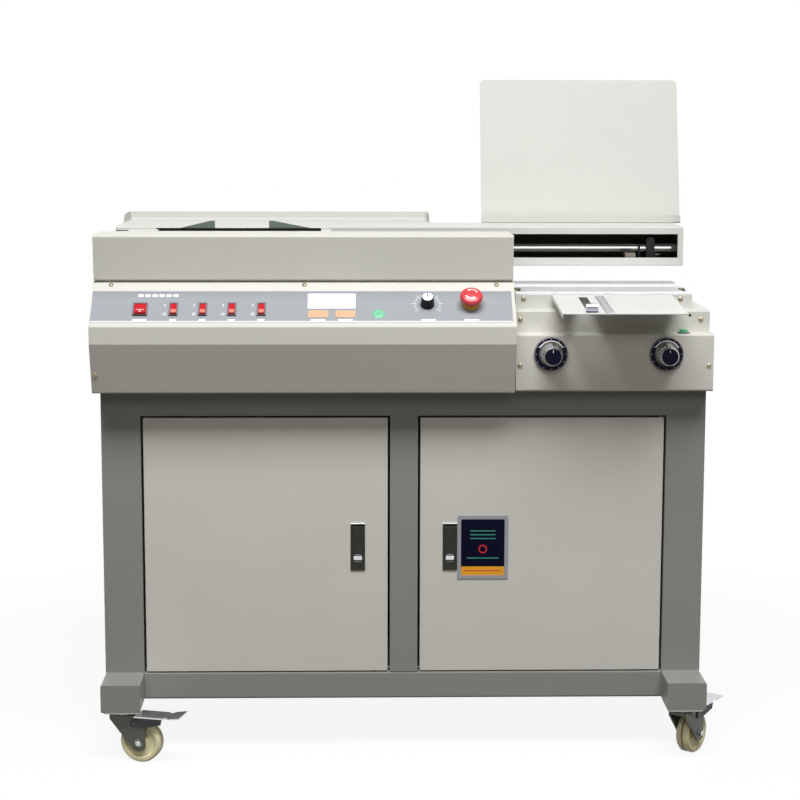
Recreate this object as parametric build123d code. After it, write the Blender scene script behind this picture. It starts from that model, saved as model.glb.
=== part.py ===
from build123d import *
import os
from math import atan2, cos, degrees, hypot, radians, sin, tan

# Hot melt binding machine for A4 book blocks. X runs along the machine, Y runs from the operator to the back
# and Z is up. Sizes are in millimetres. The places below are measured from the middle of the cabinet's
# front face at floor level, and the last step moves everything to the middle of the whole machine.

# Fits
RUN = 0.05  # radial clearance of a shaft that turns in a bore
GAP = 0.5  # clearance beside a piece that slides or drops in
BUTT = 0.3  # clearance between curved faces that pass each other

# Casters
WHEEL_R = 37.5
WHEEL_W = 25.0
HUB_W = 28.6
HUB_R = 11.0
WHEEL_RECESS = 4.0
AXLE_R = 4.0
TRAIL = 35.0
CASTER_HEIGHT = 97.0
CASTER_PLATE = (72.0, 64.0, 3.0)
CASTER_X = 504.0
CASTER_FRONT_Y = -45.0
CASTER_REAR_Y = 440.0
CASTER_BOSS_R = 19.0
CASTER_BOSS_H = 7.0
KING_PIN_R = 6.0
FORK_SHEET = 3.0
FORK_GAP = 15.0  # from the wheel's middle plane to a fork leg
FORK_TURNS = {"front_left": -15.0, "front_right": 53.0, "rear_left": -30.0, "rear_right": 160.0}
PEDAL_PIVOT = (27.0, 74.0)  # along the trail and above the floor
PEDAL_LENGTH = 86.0
PEDAL_SHEET = 2.0
PEDAL_RIVET_R = 3.0

# Cabinet
CABINET_W = 1080.0
CABINET_D = 430.0
CABINET_TOP = 668.0
POST_W = 70.0
FOOT_H = 50.0
FOOT_WALL = 3.0
FOOT_FRONT_Y = -83.0
FOOT_REAR_Y = 485.0
TOP_RAIL_H = 50.0
MULLION_W = 50.0
FRAME_D = 30.0
FRAME_T = 2.0
SIDE_T = 1.5
SIDE_FLANGE = 15.0
DECK_T = 3.0
FLOOR_T = 2.0
VENT = (80.0, 5.0)  # width and height of a slot in the back panel
VENT_PITCH = 14.0
VENT_ROWS = 7

# Doors and their latches
DOOR_GAP = 4.0
DOOR_SILL = 2.0
DOOR_D = 16.0
DOOR_T = 1.5
DOOR_PIVOT = (6.0, 7.0)  # in from the door's hinge edge and back from its face
DOOR_PIN_R = 2.5
DOOR_PIN_L = 12.0
LATCH_W = 26.0
LATCH_H = 86.0
LATCH_INSET = 41.0  # from the door's free edge to the latch
LATCH_Z = 336.0
LATCH_PROUD = 2.0
LATCH_DEPTH = 24.0
LATCH_RIM = (3.5, 2.5)  # beside and above the paddle
PADDLE_H = 50.0
PADDLE_T = 5.0
PADDLE_PIN_R = 1.2
LATCH_BUTTON = (14.8, 7.0)
LATCH_BUTTON_Z = 359.0

# Left housing
HOUSING_X = (-548.0, 193.5)
COVER_T = 2.0
HOUSING_LOW = 666.0
LIP_Y = -52.0
NOSE_Y = -82.0
KINK_Z = 756.0
NOSE_Z = 787.0
SLOPE_TOP = (0.0, 858.0)
LEDGE_Y = 34.0
HOUSING_REAR_Y = 332.0
PASS_Y = 110.0  # the clamp passes behind this line
PASS_Z = 826.0
BEND = 2.0

# Control panel, measured up the slope from the nose
FILM_T = 0.5
FILM_V = (10.5, 86.0)
FILM_X = (-546.5, 187.5)
PANEL_ROW_V = 40.3
BEZEL_H = 31.0
BEZEL_RIM = 1.6
BEZEL_PROUD = 2.0
BEZEL_DEPTH = 13.0
MAIN_ROCKER = (-461.3, 26.5)  # place along X and width
ROCKERS = ((-403.6, 15.7), (-352.8, 15.7), (-302.1, 15.7), (-250.7, 15.7))
ROCKER_TILT = 8.0
ROCKER_PIN_R = 1.5
KNOB_AT = (39.2, 52.5)
KNOB_R = 12.5
KNOB_H = 20.0
KNOB_CAP_R = 9.5
KNOB_SHAFT_R = 3.0
STOP_AT = (115.5, 54.0)
STOP_R = 20.0
STOP_COLLAR_R = 15.0
STOP_COLLAR_H = 7.5
STOP_NUT_R = 10.5
STOP_STEM_R = 6.0
STOP_UNDER = 12.0
STOP_TOP = 27.0

# Upper cover and its hinge
HOOD_X = (-547.0, 192.0)
HOOD_T = 1.5
HOOD_FOOT = (-5.0, 860.0)
HOOD_TOP_Y = -13.0
HOOD_TOP_Z = 940.0
HOOD_HEM = 10.0
HOOD_REAR_Y = 103.0
HINGE = (107.0, 936.5)
HINGE_R = 3.5
HINGE_PIN_R = 1.5
KNUCKLE_L = 20.0
KNUCKLE_GAP = 0.3
HINGE_PLACES = (-480.0, -178.0, 124.0)
RAIL_X = (-544.5, 189.5)
RAIL_T = 2.0
RAIL_LOW = 900.0
RAIL_TOP = 932.0
RAIL_FOOT_Y = 84.0
RAIL_PLATE_Y = 36.0

# Guide beam and what is in it
BEAM_X = (-530.0, 525.0)
BEAM_Y = (197.0, 332.0)
BEAM_Z = (870.0, 942.0)
BEAM_T = 3.0
WINDOW_X = (-510.0, 515.0)
WINDOW_Z = (885.0, 929.0)
ROD_AT = (245.0, 900.0)
ROD_R = 8.0
STOP_BRACKET_X = (461.0, 477.0)
BUFFER_X = (446.0, 450.0)
SWITCH_X = (418.0, 437.0)
BELT_Y = 285.0
BELT_Z = (888.0, 898.0)
BELT_T = 1.5
BELT_R = 15.0
PULLEY_X = (-505.0, 488.0)
PULLEY_FLANGE_R = 17.5
PULLEY_SHAFT_R = 5.0
MOTOR_W = 70.0
MOTOR_Z = (790.0, 866.0)

# Clamp carriage
CLAMP_X = (-526.0, -131.0)
SLOT_X = (-449.0, -149.0)
CLAMP_Y = 112.5
CLAMP_LOW = 850.0
CHEEK_LOW = 870.0
CLAMP_TOP = 938.0
REAR_JAW_Y = (184.0, 194.0)
BRIDGE_Y = 140.0
BRIDGE_T = 4.0
APRON_T = 3.0
JAW_Y = (156.0, 168.0)
JAW_FLANGE_Y = 138.0
JAW_FLANGE_T = 3.5
TONGUE = 5.0
TONGUE_Z = (886.0, 894.0)
ARMS_X = ((-500.0, -462.0), (-262.0, -222.0))
ARM_Z = (888.0, 918.0)
ARM_REACH = 262.0
FIN_T = 3.0
FIN_H = 16.0
FINS = ((-414.0, -346.0), (-166.0, -246.0))  # low end and tall end of each
PLUG_X = (-522.0, -500.0)

# Nip station
NIP_X = (196.0, 541.0)
TIER_ONE_X = (196.0, 545.0)
TIER_ONE_Y = -40.0
TIER_ONE_LOW = 667.0
TIER_ONE_TOP = 769.0
TIER_TWO_Y = -12.0
TIER_TWO_TOP = 807.0
BED_X = (200.0, 517.5)
BED_Y = (40.0, 312.0)
BED_Z = (795.0, 831.0)
BED_LEG = 8.0
PLATE_X = (200.0, 516.5)
PLATE_TOP = 835.5
NIP_JAW_Y = (42.0, 150.0)
NIP_PLATE_Y = (184.0, 270.0)
NIP_MID_Y = 167.0
NIP_TABLE_Y = (120.0, 214.0)
NIP_TABLE_X = (212.0, 506.0)
NIP_TABLE_T = 14.0
GUIDE_SCREWS = ((208.0, 95.0), (507.0, 95.0))
GUIDE_SCREW_R = 4.0
NIP_TRAVEL = 33.5
POST_R = 8.0
POST_X = (290.0, 430.0)
CROSSBAR_Z = (735.0, 747.0)

# Cover-paper table
TABLE_X = (265.5, 481.0)
TABLE_FRONT = (-145.0, 816.0)
TABLE_REAR = (38.0, 830.0)
TABLE_T = 1.5
TABLE_FLANGE = 8.0
TABLE_SLOT_X = 318.0
TABLE_SLOT_W = 16.0
TABLE_SLOT_V = (10.0, 168.0)
TABLE_RIBS_X = (292.0, 444.0)
TABLE_TABS_X = (271.0, 366.5, 462.5)
GUIDE_BLOCK = (20.0, 13.0, 14.0)
GUIDE_V = 12.0

# Position knobs and start button on the front tier
DIALS_X = (257.0, 461.0)
DIAL_Z = 734.0
DIAL_R = 30.0
DIAL_T = 6.0
DIAL_SHAFT_R = 8.0
GRIP_R = 16.5
GRIP_L = 38.0
START_AT = (492.5, -26.5)
START_R = 7.0
START_FLANGE_R = 11.0
START_H = 7.0

# Inside the left housing
LOAD_PLATE_X = (-449.0, -149.0)
LOAD_PLATE_Y = (142.0, 210.0)
LOAD_PLATE_Z = 838.0
SPINE_Y = 176.0
CUTTER_X = -75.0
CUTTER_R = 55.0
CUTTER_Z = 822.0
CUTTER_TEETH = 12
CUTTER_SHAFT_R = 8.0
MILL_MOTOR_R = 45.0
MILL_MOTOR_TOP = 806.0
TANK_X = (40.0, 170.0)
TANK_Y = (128.0, 224.0)
TANK_Z = (700.0, 834.0)
TANK_WALL = 5.0
ROLLER_AT = (75.0, 812.0)
ROLLER_R = 24.0
ROLLER_SHAFT_R = 6.0

# Rear tray, paper board, screws
TRAY_X = (-535.0, 58.0)
TRAY_DEPTH = 148.0
TRAY_Z = 940.0
TRAY_LIP = 15.0
TRAY_T = 1.5
TRAY_HOOK = 25.0
GUSSET_X = (-450.0, -30.0)
BOARD_X = (156.0, 539.0)
BOARD_LIP_Y = 323.0
BOARD_LIP = 15.0
BOARD_BASE = 8.0
BOARD_TOP = (412.0, 1214.0)
BOARD_T = 1.5
BOARD_CORNER = 8.0
SCREW_R = 4.2
SCREW_H = 2.6


def block(x, y, z):
    """Box between two places along each axis."""
    size = (x[1] - x[0], y[1] - y[0], z[1] - z[0])
    return Pos((x[0] + x[1]) / 2, (y[0] + y[1]) / 2, (z[0] + z[1]) / 2) * Box(*size)


def upright(x, y, z, radius):
    """Round bar along Z, from z[0] to z[1]."""
    return Pos(x, y, (z[0] + z[1]) / 2) * Cylinder(radius, z[1] - z[0])


def rod_along_x(x, y, z, radius):
    """Round bar along X, from x[0] to x[1]."""
    return Pos((x[0] + x[1]) / 2, y, z) * Rot(0, 90, 0) * Cylinder(radius, x[1] - x[0])


def rod_along_y(x, y, z, radius):
    """Round bar along Y, from y[0] to y[1]."""
    return Pos(x, (y[0] + y[1]) / 2, z) * Rot(90, 0, 0) * Cylinder(radius, y[1] - y[0])


def side_plate(points, x):
    """Flat plate standing across X, its outline given as places along Y and Z."""
    face = make_face(Polyline(*points, close=True))
    return extrude(Plane.YZ.offset(x[0]) * face, x[1] - x[0])


def heading(start, end):
    """Unit direction from one point to the next."""
    length = hypot(end[0] - start[0], end[1] - start[1])
    return ((end[0] - start[0]) / length, (end[1] - start[1]) / length)


def corner_turns(points):
    """Sine of the turn at each inner point: positive turns left."""
    ways = [heading(a, b) for a, b in zip(points, points[1:])]
    return [a[0] * b[1] - a[1] * b[0] for a, b in zip(ways, ways[1:])]


def moved_left(points, distance):
    """The same line moved to its left, mitred at its corners."""
    ways = [heading(a, b) for a, b in zip(points, points[1:])]
    ways = [ways[0]] + ways + [ways[-1]]
    line = []
    for point, before, after in zip(points, ways, ways[1:]):
        share = distance / (1 + before[0] * after[0] + before[1] * after[1])
        line.append((point[0] - share * (before[1] + after[1]), point[1] + share * (before[0] + after[0])))
    return line


def folded_section(points, thickness, bend=BEND):
    """Section of a bent sheet: the points are one face, and the metal lies to their left."""
    turns = corner_turns(points)
    given_radii = [bend + thickness if turn > 0 else bend for turn in turns]
    other_radii = [bend if turn > 0 else bend + thickness for turn in turns]
    other = moved_left(points, thickness)
    given_line = FilletPolyline(*points, radius=given_radii)
    other_line = FilletPolyline(*other, radius=other_radii)
    ends = [Line(points[0], other[0]), Line(points[-1], other[-1])]
    return make_face([given_line, other_line] + ends)


def sheet_along_x(points, thickness, x, bend=BEND):
    """Sheet bent along a line in Y and Z, running from x[0] to x[1]."""
    return extrude(Plane.YZ.offset(x[0]) * folded_section(points, thickness, bend), x[1] - x[0])


def sheet_along_z(points, thickness, z, bend=BEND):
    """Sheet bent along a line in X and Y, running from z[0] to z[1]."""
    return extrude(Plane.XY.offset(z[0]) * folded_section(points, thickness, bend), z[1] - z[0])


def turned(points):
    """Solid of revolution about Z from radius and height points."""
    return revolve(Plane.XZ * make_face(Polyline(*points, close=True)), Axis.Z)


def crown(edge, top):
    """Arc of a ball from a radius and height up to the top on the axis."""
    rise = top - edge[1]
    ball = (edge[0] ** 2 + rise**2) / (2 * rise)
    start = degrees(atan2(edge[1] - top + ball, edge[0]))
    return CenterArc((0, top - ball), ball, start, 90 - start)


HALF_W = CABINET_W / 2
INNER_X = HALF_W - POST_W
FRAME_BOTTOM = CASTER_HEIGHT
FOOT_TOP = FRAME_BOTTOM + FOOT_H
RAIL_BOTTOM = CABINET_TOP - TOP_RAIL_H
HALF_MULLION = MULLION_W / 2
DECK_TOP = CABINET_TOP + DECK_T

SLOPE_ANGLE = degrees(atan2(SLOPE_TOP[1] - NOSE_Z, SLOPE_TOP[0] - NOSE_Y))
PANEL = Plane(
    origin=(0, NOSE_Y, NOSE_Z),
    x_dir=(1, 0, 0),
    z_dir=(0, -sin(radians(SLOPE_ANGLE)), cos(radians(SLOPE_ANGLE))),
)
TABLE_ANGLE = degrees(atan2(TABLE_REAR[1] - TABLE_FRONT[1], TABLE_REAR[0] - TABLE_FRONT[0]))
TABLE_LENGTH = hypot(TABLE_REAR[0] - TABLE_FRONT[0], TABLE_REAR[1] - TABLE_FRONT[1])
TABLE = Plane(
    origin=(0, TABLE_FRONT[0], TABLE_FRONT[1]),
    x_dir=(1, 0, 0),
    z_dir=(0, -sin(radians(TABLE_ANGLE)), cos(radians(TABLE_ANGLE))),
)


def on_panel(x, v, height=0.0):
    """Place on the sloping panel: along X, up the slope and out from the sheet."""
    return PANEL * Pos(x, v, height)


# Casters: a head plate under the foot, a fork that swivels and a wheel that rolls
FORK_TOP = CASTER_HEIGHT - CASTER_PLATE[2] - CASTER_BOSS_H - BUTT
CROWN_LOW = FORK_TOP - 2 * FORK_SHEET
LEG_OUT = FORK_GAP + FORK_SHEET


def caster_spots():
    """Swivel place and turn of each caster."""
    spots = {}
    for name, turn in FORK_TURNS.items():
        x = -CASTER_X if name.endswith("left") else CASTER_X
        y = CASTER_FRONT_Y if name.startswith("front") else CASTER_REAR_Y
        spots[name] = (x, y, turn)
    return spots


def caster_place(name):
    x, y, turn = caster_spots()[name]
    return Pos(x, y, 0) * Rot(0, 0, turn)


def make_caster_plates():
    length, width, thick = CASTER_PLATE
    plate = Pos(0, 0, CASTER_HEIGHT - thick / 2) * Box(width, length, thick)
    plate = fillet(plate.edges().filter_by(Axis.Z), 6)
    boss_top = CASTER_HEIGHT - thick
    head = plate + upright(0, 0, (boss_top - CASTER_BOSS_H, boss_top), CASTER_BOSS_R)
    head += upright(0, 0, (CROWN_LOW - 2 * BUTT, boss_top), KING_PIN_R)
    head += upright(0, 0, (CROWN_LOW - BUTT - FORK_SHEET, CROWN_LOW - BUTT), KING_PIN_R * 1.5)
    return Compound(children=[Pos(x, y, 0) * head for x, y, turn in caster_spots().values()])


def fork_leg(side):
    axle_z = WHEEL_R
    outline = [
        (-20, FORK_TOP),
        (23, FORK_TOP),
        (27, FORK_TOP - 5),
        (TRAIL + 12, FORK_TOP - 10),
        (TRAIL + 12, axle_z - 14),
        (TRAIL - 9, axle_z - 14),
        (-20, FORK_TOP - 8),
    ]
    face = make_face(Polyline(*outline, close=True))
    face = fillet(face.vertices().group_by(Axis.Y)[0], 9)
    near = FORK_GAP if side > 0 else -LEG_OUT
    return extrude(Plane.XZ.offset(-near) * face, -FORK_SHEET)


def make_fork(name):
    fork = upright(0, 0, (CROWN_LOW, FORK_TOP), 22) + block((-20, 20), (-LEG_OUT, LEG_OUT), (CROWN_LOW, FORK_TOP))
    fork += fork_leg(1) + fork_leg(-1)
    if name.startswith("front"):
        reach = LEG_OUT + PEDAL_SHEET + 2 * BUTT
        rivets = rod_along_y(PEDAL_PIVOT[0], (-reach, reach), PEDAL_PIVOT[1], PEDAL_RIVET_R)
        fork += rivets - block((-99, 99), (-FORK_GAP, FORK_GAP), (0, CASTER_HEIGHT))
    fork -= upright(0, 0, (0, CASTER_HEIGHT), KING_PIN_R + RUN)
    bolt_reach = LEG_OUT + 4
    bolt = rod_along_y(TRAIL, (-bolt_reach, bolt_reach), WHEEL_R, AXLE_R)
    fork -= bolt
    for side in (-1, 1):
        head = extrude(Plane.XZ * RegularPolygon(AXLE_R + 2.5, 6), 4)
        shift = -LEG_OUT if side < 0 else LEG_OUT + 4
        bolt += Pos(TRAIL, shift, WHEEL_R) * head
    return caster_place(name) * Compound(children=[fork, bolt])


def make_wheel(name):
    half, hub = WHEEL_W / 2, HUB_W / 2
    bore = AXLE_R + RUN
    right = [
        (bore, hub),
        (HUB_R, hub),
        (HUB_R + 2, half - WHEEL_RECESS),
        (WHEEL_R - 11, half - WHEEL_RECESS),
        (WHEEL_R - 8, half),
        (WHEEL_R - 3, half),
        (WHEEL_R, half - 4),
    ]
    outline = right + [(r, -h) for r, h in reversed(right)]
    wheel = turned(outline)
    return caster_place(name) * Pos(TRAIL, 0, WHEEL_R) * Rot(90, 0, 0) * wheel


def make_pedal(name):
    x0, z0 = PEDAL_PIVOT
    inner = LEG_OUT + BUTT
    outer = inner + PEDAL_SHEET
    top = FORK_TOP + BUTT
    tip = x0 + PEDAL_LENGTH
    half_line = [(x0 + 1, outer), (tip - 32, outer), (tip - 26, 14), (tip - 19, outer + 2), (tip, outer + 4)]
    plan = half_line + [(x, -y) for x, y in reversed(half_line)]
    plate_line = [(x0 + 1, top - PEDAL_SHEET), (tip - 24, top - PEDAL_SHEET), (tip, top + 1)]
    strip = extrude(Plane.XZ.offset(-2 * outer) * folded_section(plate_line, PEDAL_SHEET), 4 * outer)
    pedal = strip & extrude(make_face(Polyline(*plan, close=True)), CASTER_HEIGHT)
    pedal -= Pos(x0 + 40, 0, top) * Box(10, 6, 3 * PEDAL_SHEET)
    cheek_points = [
        (x0 - 7, z0 - 6),
        (x0 + 20, z0 - 6),
        (x0 + 50, z0),
        (x0 + 53, top),
        (x0 + 1, top),
        (x0 - 7, z0 + 4),
    ]
    for near in (-outer, inner):
        pedal += extrude(Plane.XZ.offset(-near) * make_face(Polyline(*cheek_points, close=True)), -PEDAL_SHEET)
    pedal -= rod_along_y(x0, (-99, 99), z0, PEDAL_RIVET_R + RUN)
    return caster_place(name) * pedal


# Cabinet: a folded front frame on two foot beams, panels, deck and floor
def make_cabinet_frame():
    y = (0, FRAME_D)
    posts = [(INNER_X, HALF_W), (-HALF_W, -INNER_X)]
    mullion = (-HALF_MULLION, HALF_MULLION)
    frame = block((-HALF_W, HALF_W), y, (RAIL_BOTTOM, CABINET_TOP)) + block(mullion, y, (FOOT_TOP, CABINET_TOP))
    for post in posts:
        frame += block(post, y, (FOOT_TOP, CABINET_TOP))
    hollow_y = (FRAME_T, FRAME_D)
    edge = HALF_W - FRAME_T
    hollow = block((-edge, edge), hollow_y, (RAIL_BOTTOM + FRAME_T, CABINET_TOP - FRAME_T))
    hollow += block((mullion[0] + FRAME_T, mullion[1] - FRAME_T), hollow_y, (FOOT_TOP, CABINET_TOP - FRAME_T))
    for post in posts:
        inner = (post[0] + FRAME_T, post[1] - FRAME_T)
        hollow += block(inner, hollow_y, (FOOT_TOP, CABINET_TOP - FRAME_T))
    frame -= hollow
    rail_line = [(FRAME_D, FOOT_TOP), (0, FOOT_TOP), (0, FRAME_BOTTOM), (FRAME_D, FRAME_BOTTOM)]
    rail = sheet_along_x(rail_line, FRAME_T, (-INNER_X, INNER_X))
    members = [frame, rail] + [make_foot(side) for side in (-1, 1)] + door_pins()
    return Compound(children=members)


def make_foot(side):
    x = (INNER_X, HALF_W) if side > 0 else (-HALF_W, -INNER_X)
    foot = block(x, (FOOT_FRONT_Y, FOOT_REAR_Y), (FRAME_BOTTOM, FOOT_TOP))
    foot = fillet(foot.edges().filter_by(Axis.Y), 3)
    inner = (x[0] + FOOT_WALL, x[1] - FOOT_WALL)
    height = (FRAME_BOTTOM + FOOT_WALL, FOOT_TOP - FOOT_WALL)
    return foot - block(inner, (FOOT_FRONT_Y + FOOT_WALL, FOOT_REAR_Y), height)


def make_cabinet_panels():
    side_line = [
        (HALF_W - SIDE_FLANGE, FRAME_D),
        (HALF_W, FRAME_D),
        (HALF_W, CABINET_D),
        (HALF_W - SIDE_FLANGE, CABINET_D),
    ]
    right = sheet_along_z(side_line, SIDE_T, (FOOT_TOP, CABINET_TOP))
    left = mirror(right, Plane.YZ)
    back = block((-HALF_W, HALF_W), (CABINET_D, CABINET_D + SIDE_T), (FOOT_TOP, CABINET_TOP))
    for x in (-HALF_W / 2, HALF_W / 2):
        for row in range(VENT_ROWS):
            z = CABINET_TOP - 60 - row * VENT_PITCH
            back -= Pos(x, CABINET_D, z) * Box(VENT[0], 4 * SIDE_T, VENT[1])
    deck_x = (HOUSING_X[0] + COVER_T, TIER_ONE_X[1] - COVER_T)
    deck = block(deck_x, (0, CABINET_D + SIDE_T), (CABINET_TOP, DECK_TOP))
    inside = HALF_W - SIDE_T
    floor_y = (FRAME_D + SIDE_T, CABINET_D - SIDE_T)
    floor = block((-inside, inside), floor_y, (FOOT_TOP, FOOT_TOP + FLOOR_T))
    floor = fillet(floor.edges().filter_by(Axis.Z), BEND + SIDE_T)
    return Compound(children=[left, right, back, deck, floor])


# Doors: folded pans on pivot pins, each with a flush latch
DOOR_Z = (FOOT_TOP + DOOR_SILL, RAIL_BOTTOM - DOOR_GAP)
DOOR_X = (HALF_MULLION + DOOR_GAP, INNER_X - DOOR_GAP)
PIVOT_X = DOOR_X[1] - DOOR_PIVOT[0]
PIVOT_Y = DOOR_PIVOT[1]
LATCH_X = (DOOR_X[0] + LATCH_INSET, DOOR_X[0] + LATCH_INSET + LATCH_W)
LATCH_MID = (LATCH_X[0] + LATCH_X[1]) / 2
LATCH_TOP = LATCH_Z + LATCH_H
PADDLE_PIVOT = (1.0, LATCH_TOP - 8.0)


def door_pins():
    pins = []
    for x in (-PIVOT_X, PIVOT_X):
        pins.append(upright(x, PIVOT_Y, (RAIL_BOTTOM - DOOR_PIN_L, RAIL_BOTTOM), DOOR_PIN_R))
        pins.append(upright(x, PIVOT_Y, (FOOT_TOP, FOOT_TOP + DOOR_PIN_L), DOOR_PIN_R))
    return pins


def right_door():
    pan_x, pan_y = DOOR_X, (0, DOOR_D)
    door = block(pan_x, pan_y, DOOR_Z)
    door = fillet(door.edges().filter_by(Axis.Z).group_by(Axis.Y)[0], DOOR_T + 0.5)
    hollow_x = (pan_x[0] + DOOR_T, pan_x[1] - DOOR_T)
    door -= block(hollow_x, (DOOR_T, DOOR_D), (DOOR_Z[0] + DOOR_T, DOOR_Z[1] - DOOR_T))
    for z in (DOOR_Z[0] + DOOR_T / 2, DOOR_Z[1] - DOOR_T / 2):
        door -= upright(PIVOT_X, PIVOT_Y, (z - DOOR_T, z + DOOR_T), DOOR_PIN_R + RUN)
    door -= block((LATCH_X[0] + 2, LATCH_X[1] - 2), (-1, DOOR_T), (LATCH_Z + 2, LATCH_TOP - 2))
    return door


def latch_housing():
    body = block(LATCH_X, (-LATCH_PROUD, 0), (LATCH_Z, LATCH_TOP))
    body = fillet(body.edges().filter_by(Axis.Y), 2)
    body += block((LATCH_X[0] + 2, LATCH_X[1] - 2), (-LATCH_PROUD / 2, LATCH_DEPTH), (LATCH_Z + 2, LATCH_TOP - 2))
    pocket_x = (LATCH_X[0] + LATCH_RIM[0], LATCH_X[1] - LATCH_RIM[0])
    pocket_low = PADDLE_PIVOT[1] + 3 - PADDLE_H - GAP
    body -= block(pocket_x, (-LATCH_PROUD, PADDLE_PIVOT[0] + 6), (pocket_low, LATCH_TOP - LATCH_RIM[1]))
    pin_x = (pocket_x[0] - 1, pocket_x[1] + 1)
    body -= rod_along_x(pin_x, PADDLE_PIVOT[0], PADDLE_PIVOT[1], PADDLE_PIN_R + RUN)
    half_w, half_h = LATCH_BUTTON[0] / 2 + 0.2, LATCH_BUTTON[1] / 2 + 0.2
    button_z = (LATCH_BUTTON_Z - half_h, LATCH_BUTTON_Z + half_h)
    return body - block((LATCH_MID - half_w, LATCH_MID + half_w), (-LATCH_PROUD, LATCH_DEPTH - 2), button_z)


def latch_paddle():
    pocket_x = (LATCH_X[0] + LATCH_RIM[0], LATCH_X[1] - LATCH_RIM[0])
    x = (pocket_x[0] + 0.3, pocket_x[1] - 0.3)
    top = PADDLE_PIVOT[1] + 3
    paddle = block(x, (-LATCH_PROUD - 0.5, PADDLE_T - LATCH_PROUD - 0.5), (top - PADDLE_H, top))
    paddle = fillet(paddle.edges().filter_by(Axis.X), 1.2)
    pin_x = (pocket_x[0] - 0.8, pocket_x[1] + 0.8)
    return paddle + rod_along_x(pin_x, PADDLE_PIVOT[0], PADDLE_PIVOT[1], PADDLE_PIN_R)


def latch_button():
    half_w, half_h = LATCH_BUTTON[0] / 2, LATCH_BUTTON[1] / 2
    z = (LATCH_BUTTON_Z - half_h, LATCH_BUTTON_Z + half_h)
    button = block((LATCH_MID - half_w, LATCH_MID + half_w), (-LATCH_PROUD - 1.5, LATCH_DEPTH - 8), z)
    return fillet(button.edges().filter_by(Axis.Y), 1)


def on_side(piece, side):
    """A piece made for the right door, or its mirror image for the left."""
    return piece if side == "right" else mirror(piece, Plane.YZ)


# Left housing: one folded sheet with a nose and a sloping panel, closed by two end walls
def housing_front_line():
    return [(SLOPE_TOP[0], SLOPE_TOP[1]), (NOSE_Y, NOSE_Z), (NOSE_Y, KINK_Z), (LIP_Y, HOUSING_LOW)]


def panel_cut_outs():
    """What passes through the sloping sheet and the film on it."""
    depth = 4 * COVER_T
    cuts = []
    for x, width in (MAIN_ROCKER,) + ROCKERS:
        hole = Box(width - 2 * BEZEL_RIM, BEZEL_H - 2 * BEZEL_RIM, depth)
        cuts.append(on_panel(x, PANEL_ROW_V) * hole)
    cuts.append(on_panel(*KNOB_AT) * Cylinder(KNOB_SHAFT_R + RUN, depth))
    cuts.append(on_panel(*STOP_AT) * Cylinder(STOP_NUT_R, depth))
    return cuts


def make_lower_cover():
    line = [(LEDGE_Y, SLOPE_TOP[1])] + housing_front_line() + [(-3, HOUSING_LOW)]
    cover = sheet_along_x(line, COVER_T, HOUSING_X)
    low, top = HOUSING_LOW, SLOPE_TOP[1]
    front = list(reversed(housing_front_line()))
    left = front + [(HOUSING_REAR_Y, top), (HOUSING_REAR_Y, low)]
    right = front + [(PASS_Y, top), (PASS_Y, PASS_Z), (HOUSING_REAR_Y, PASS_Z), (HOUSING_REAR_Y, low)]
    cover += side_plate(left, (HOUSING_X[0], HOUSING_X[0] + COVER_T))
    cover += side_plate(right, (HOUSING_X[1] - COVER_T, HOUSING_X[1]))
    cover -= block((HOUSING_X[0] + COVER_T, HALF_W), (-3, HOUSING_REAR_Y + 1), (HOUSING_LOW - 1, DECK_TOP))
    for cut in panel_cut_outs():
        cover -= cut
    return cover


def make_panel_film():
    film = block(FILM_X, FILM_V, (0, FILM_T))
    film = on_panel(0, 0) * fillet(film.edges().filter_by(Axis.Z), 2)
    for cut in panel_cut_outs():
        film -= cut
    return film


ROCKER_R = BEZEL_H / 2 - BEZEL_RIM - BUTT - 1.0


def rocker_bezel(x, width):
    body = Pos(0, 0, FILM_T + BEZEL_PROUD / 2) * Box(width, BEZEL_H, BEZEL_PROUD)
    body = fillet(body.edges().filter_by(Axis.Z), 1.2)
    socket = (width - 2 * BEZEL_RIM, BEZEL_H - 2 * BEZEL_RIM)
    body += Pos(0, 0, (FILM_T - BEZEL_DEPTH) / 2) * Box(socket[0], socket[1], BEZEL_DEPTH + FILM_T)
    pocket = (socket[0] - 2, socket[1] - 2)
    top = FILM_T + BEZEL_PROUD
    body -= Pos(0, 0, (top - BEZEL_DEPTH + 1) / 2) * Box(pocket[0], pocket[1], top + BEZEL_DEPTH - 1)
    body -= Pos(0, 0, -FILM_T) * Rot(0, 90, 0) * Cylinder(ROCKER_PIN_R + RUN, socket[0])
    return on_panel(x, PANEL_ROW_V) * body


def make_rocker(x, width):
    pocket = width - 2 * BEZEL_RIM - 2
    rise = ROCKER_R * tan(radians(ROCKER_TILT))
    crown = FILM_T + BEZEL_PROUD
    outline = [
        (-ROCKER_R, crown + rise),
        (0, crown),
        (ROCKER_R, crown + rise),
        (ROCKER_R, -ROCKER_R / 2),
        (-ROCKER_R, -ROCKER_R / 2),
    ]
    face = make_face(Polyline(*outline, close=True)) & (Pos(0, 0, 0) * Circle(ROCKER_R))
    rocker = extrude(Plane.YZ.offset(-pocket / 2 + 0.3) * face, pocket - 0.6)
    pin = Rot(0, 90, 0) * Cylinder(ROCKER_PIN_R, pocket + 1.6)
    tilted = Rot(-ROCKER_TILT, 0, 0) * (rocker + pin)
    return on_panel(x, PANEL_ROW_V, -FILM_T) * tilted


def dial_ring(x):
    ring = rod_along_y(x, (TIER_ONE_Y - DIAL_T, TIER_ONE_Y), DIAL_Z, DIAL_R)
    ring = chamfer(ring.edges().filter_by(GeomType.CIRCLE).group_by(Axis.Y)[0], 1.5)
    return ring - rod_along_y(x, (TIER_ONE_Y - 2 * DIAL_T, TIER_ONE_Y), DIAL_Z, DIAL_SHAFT_R + RUN)


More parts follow.
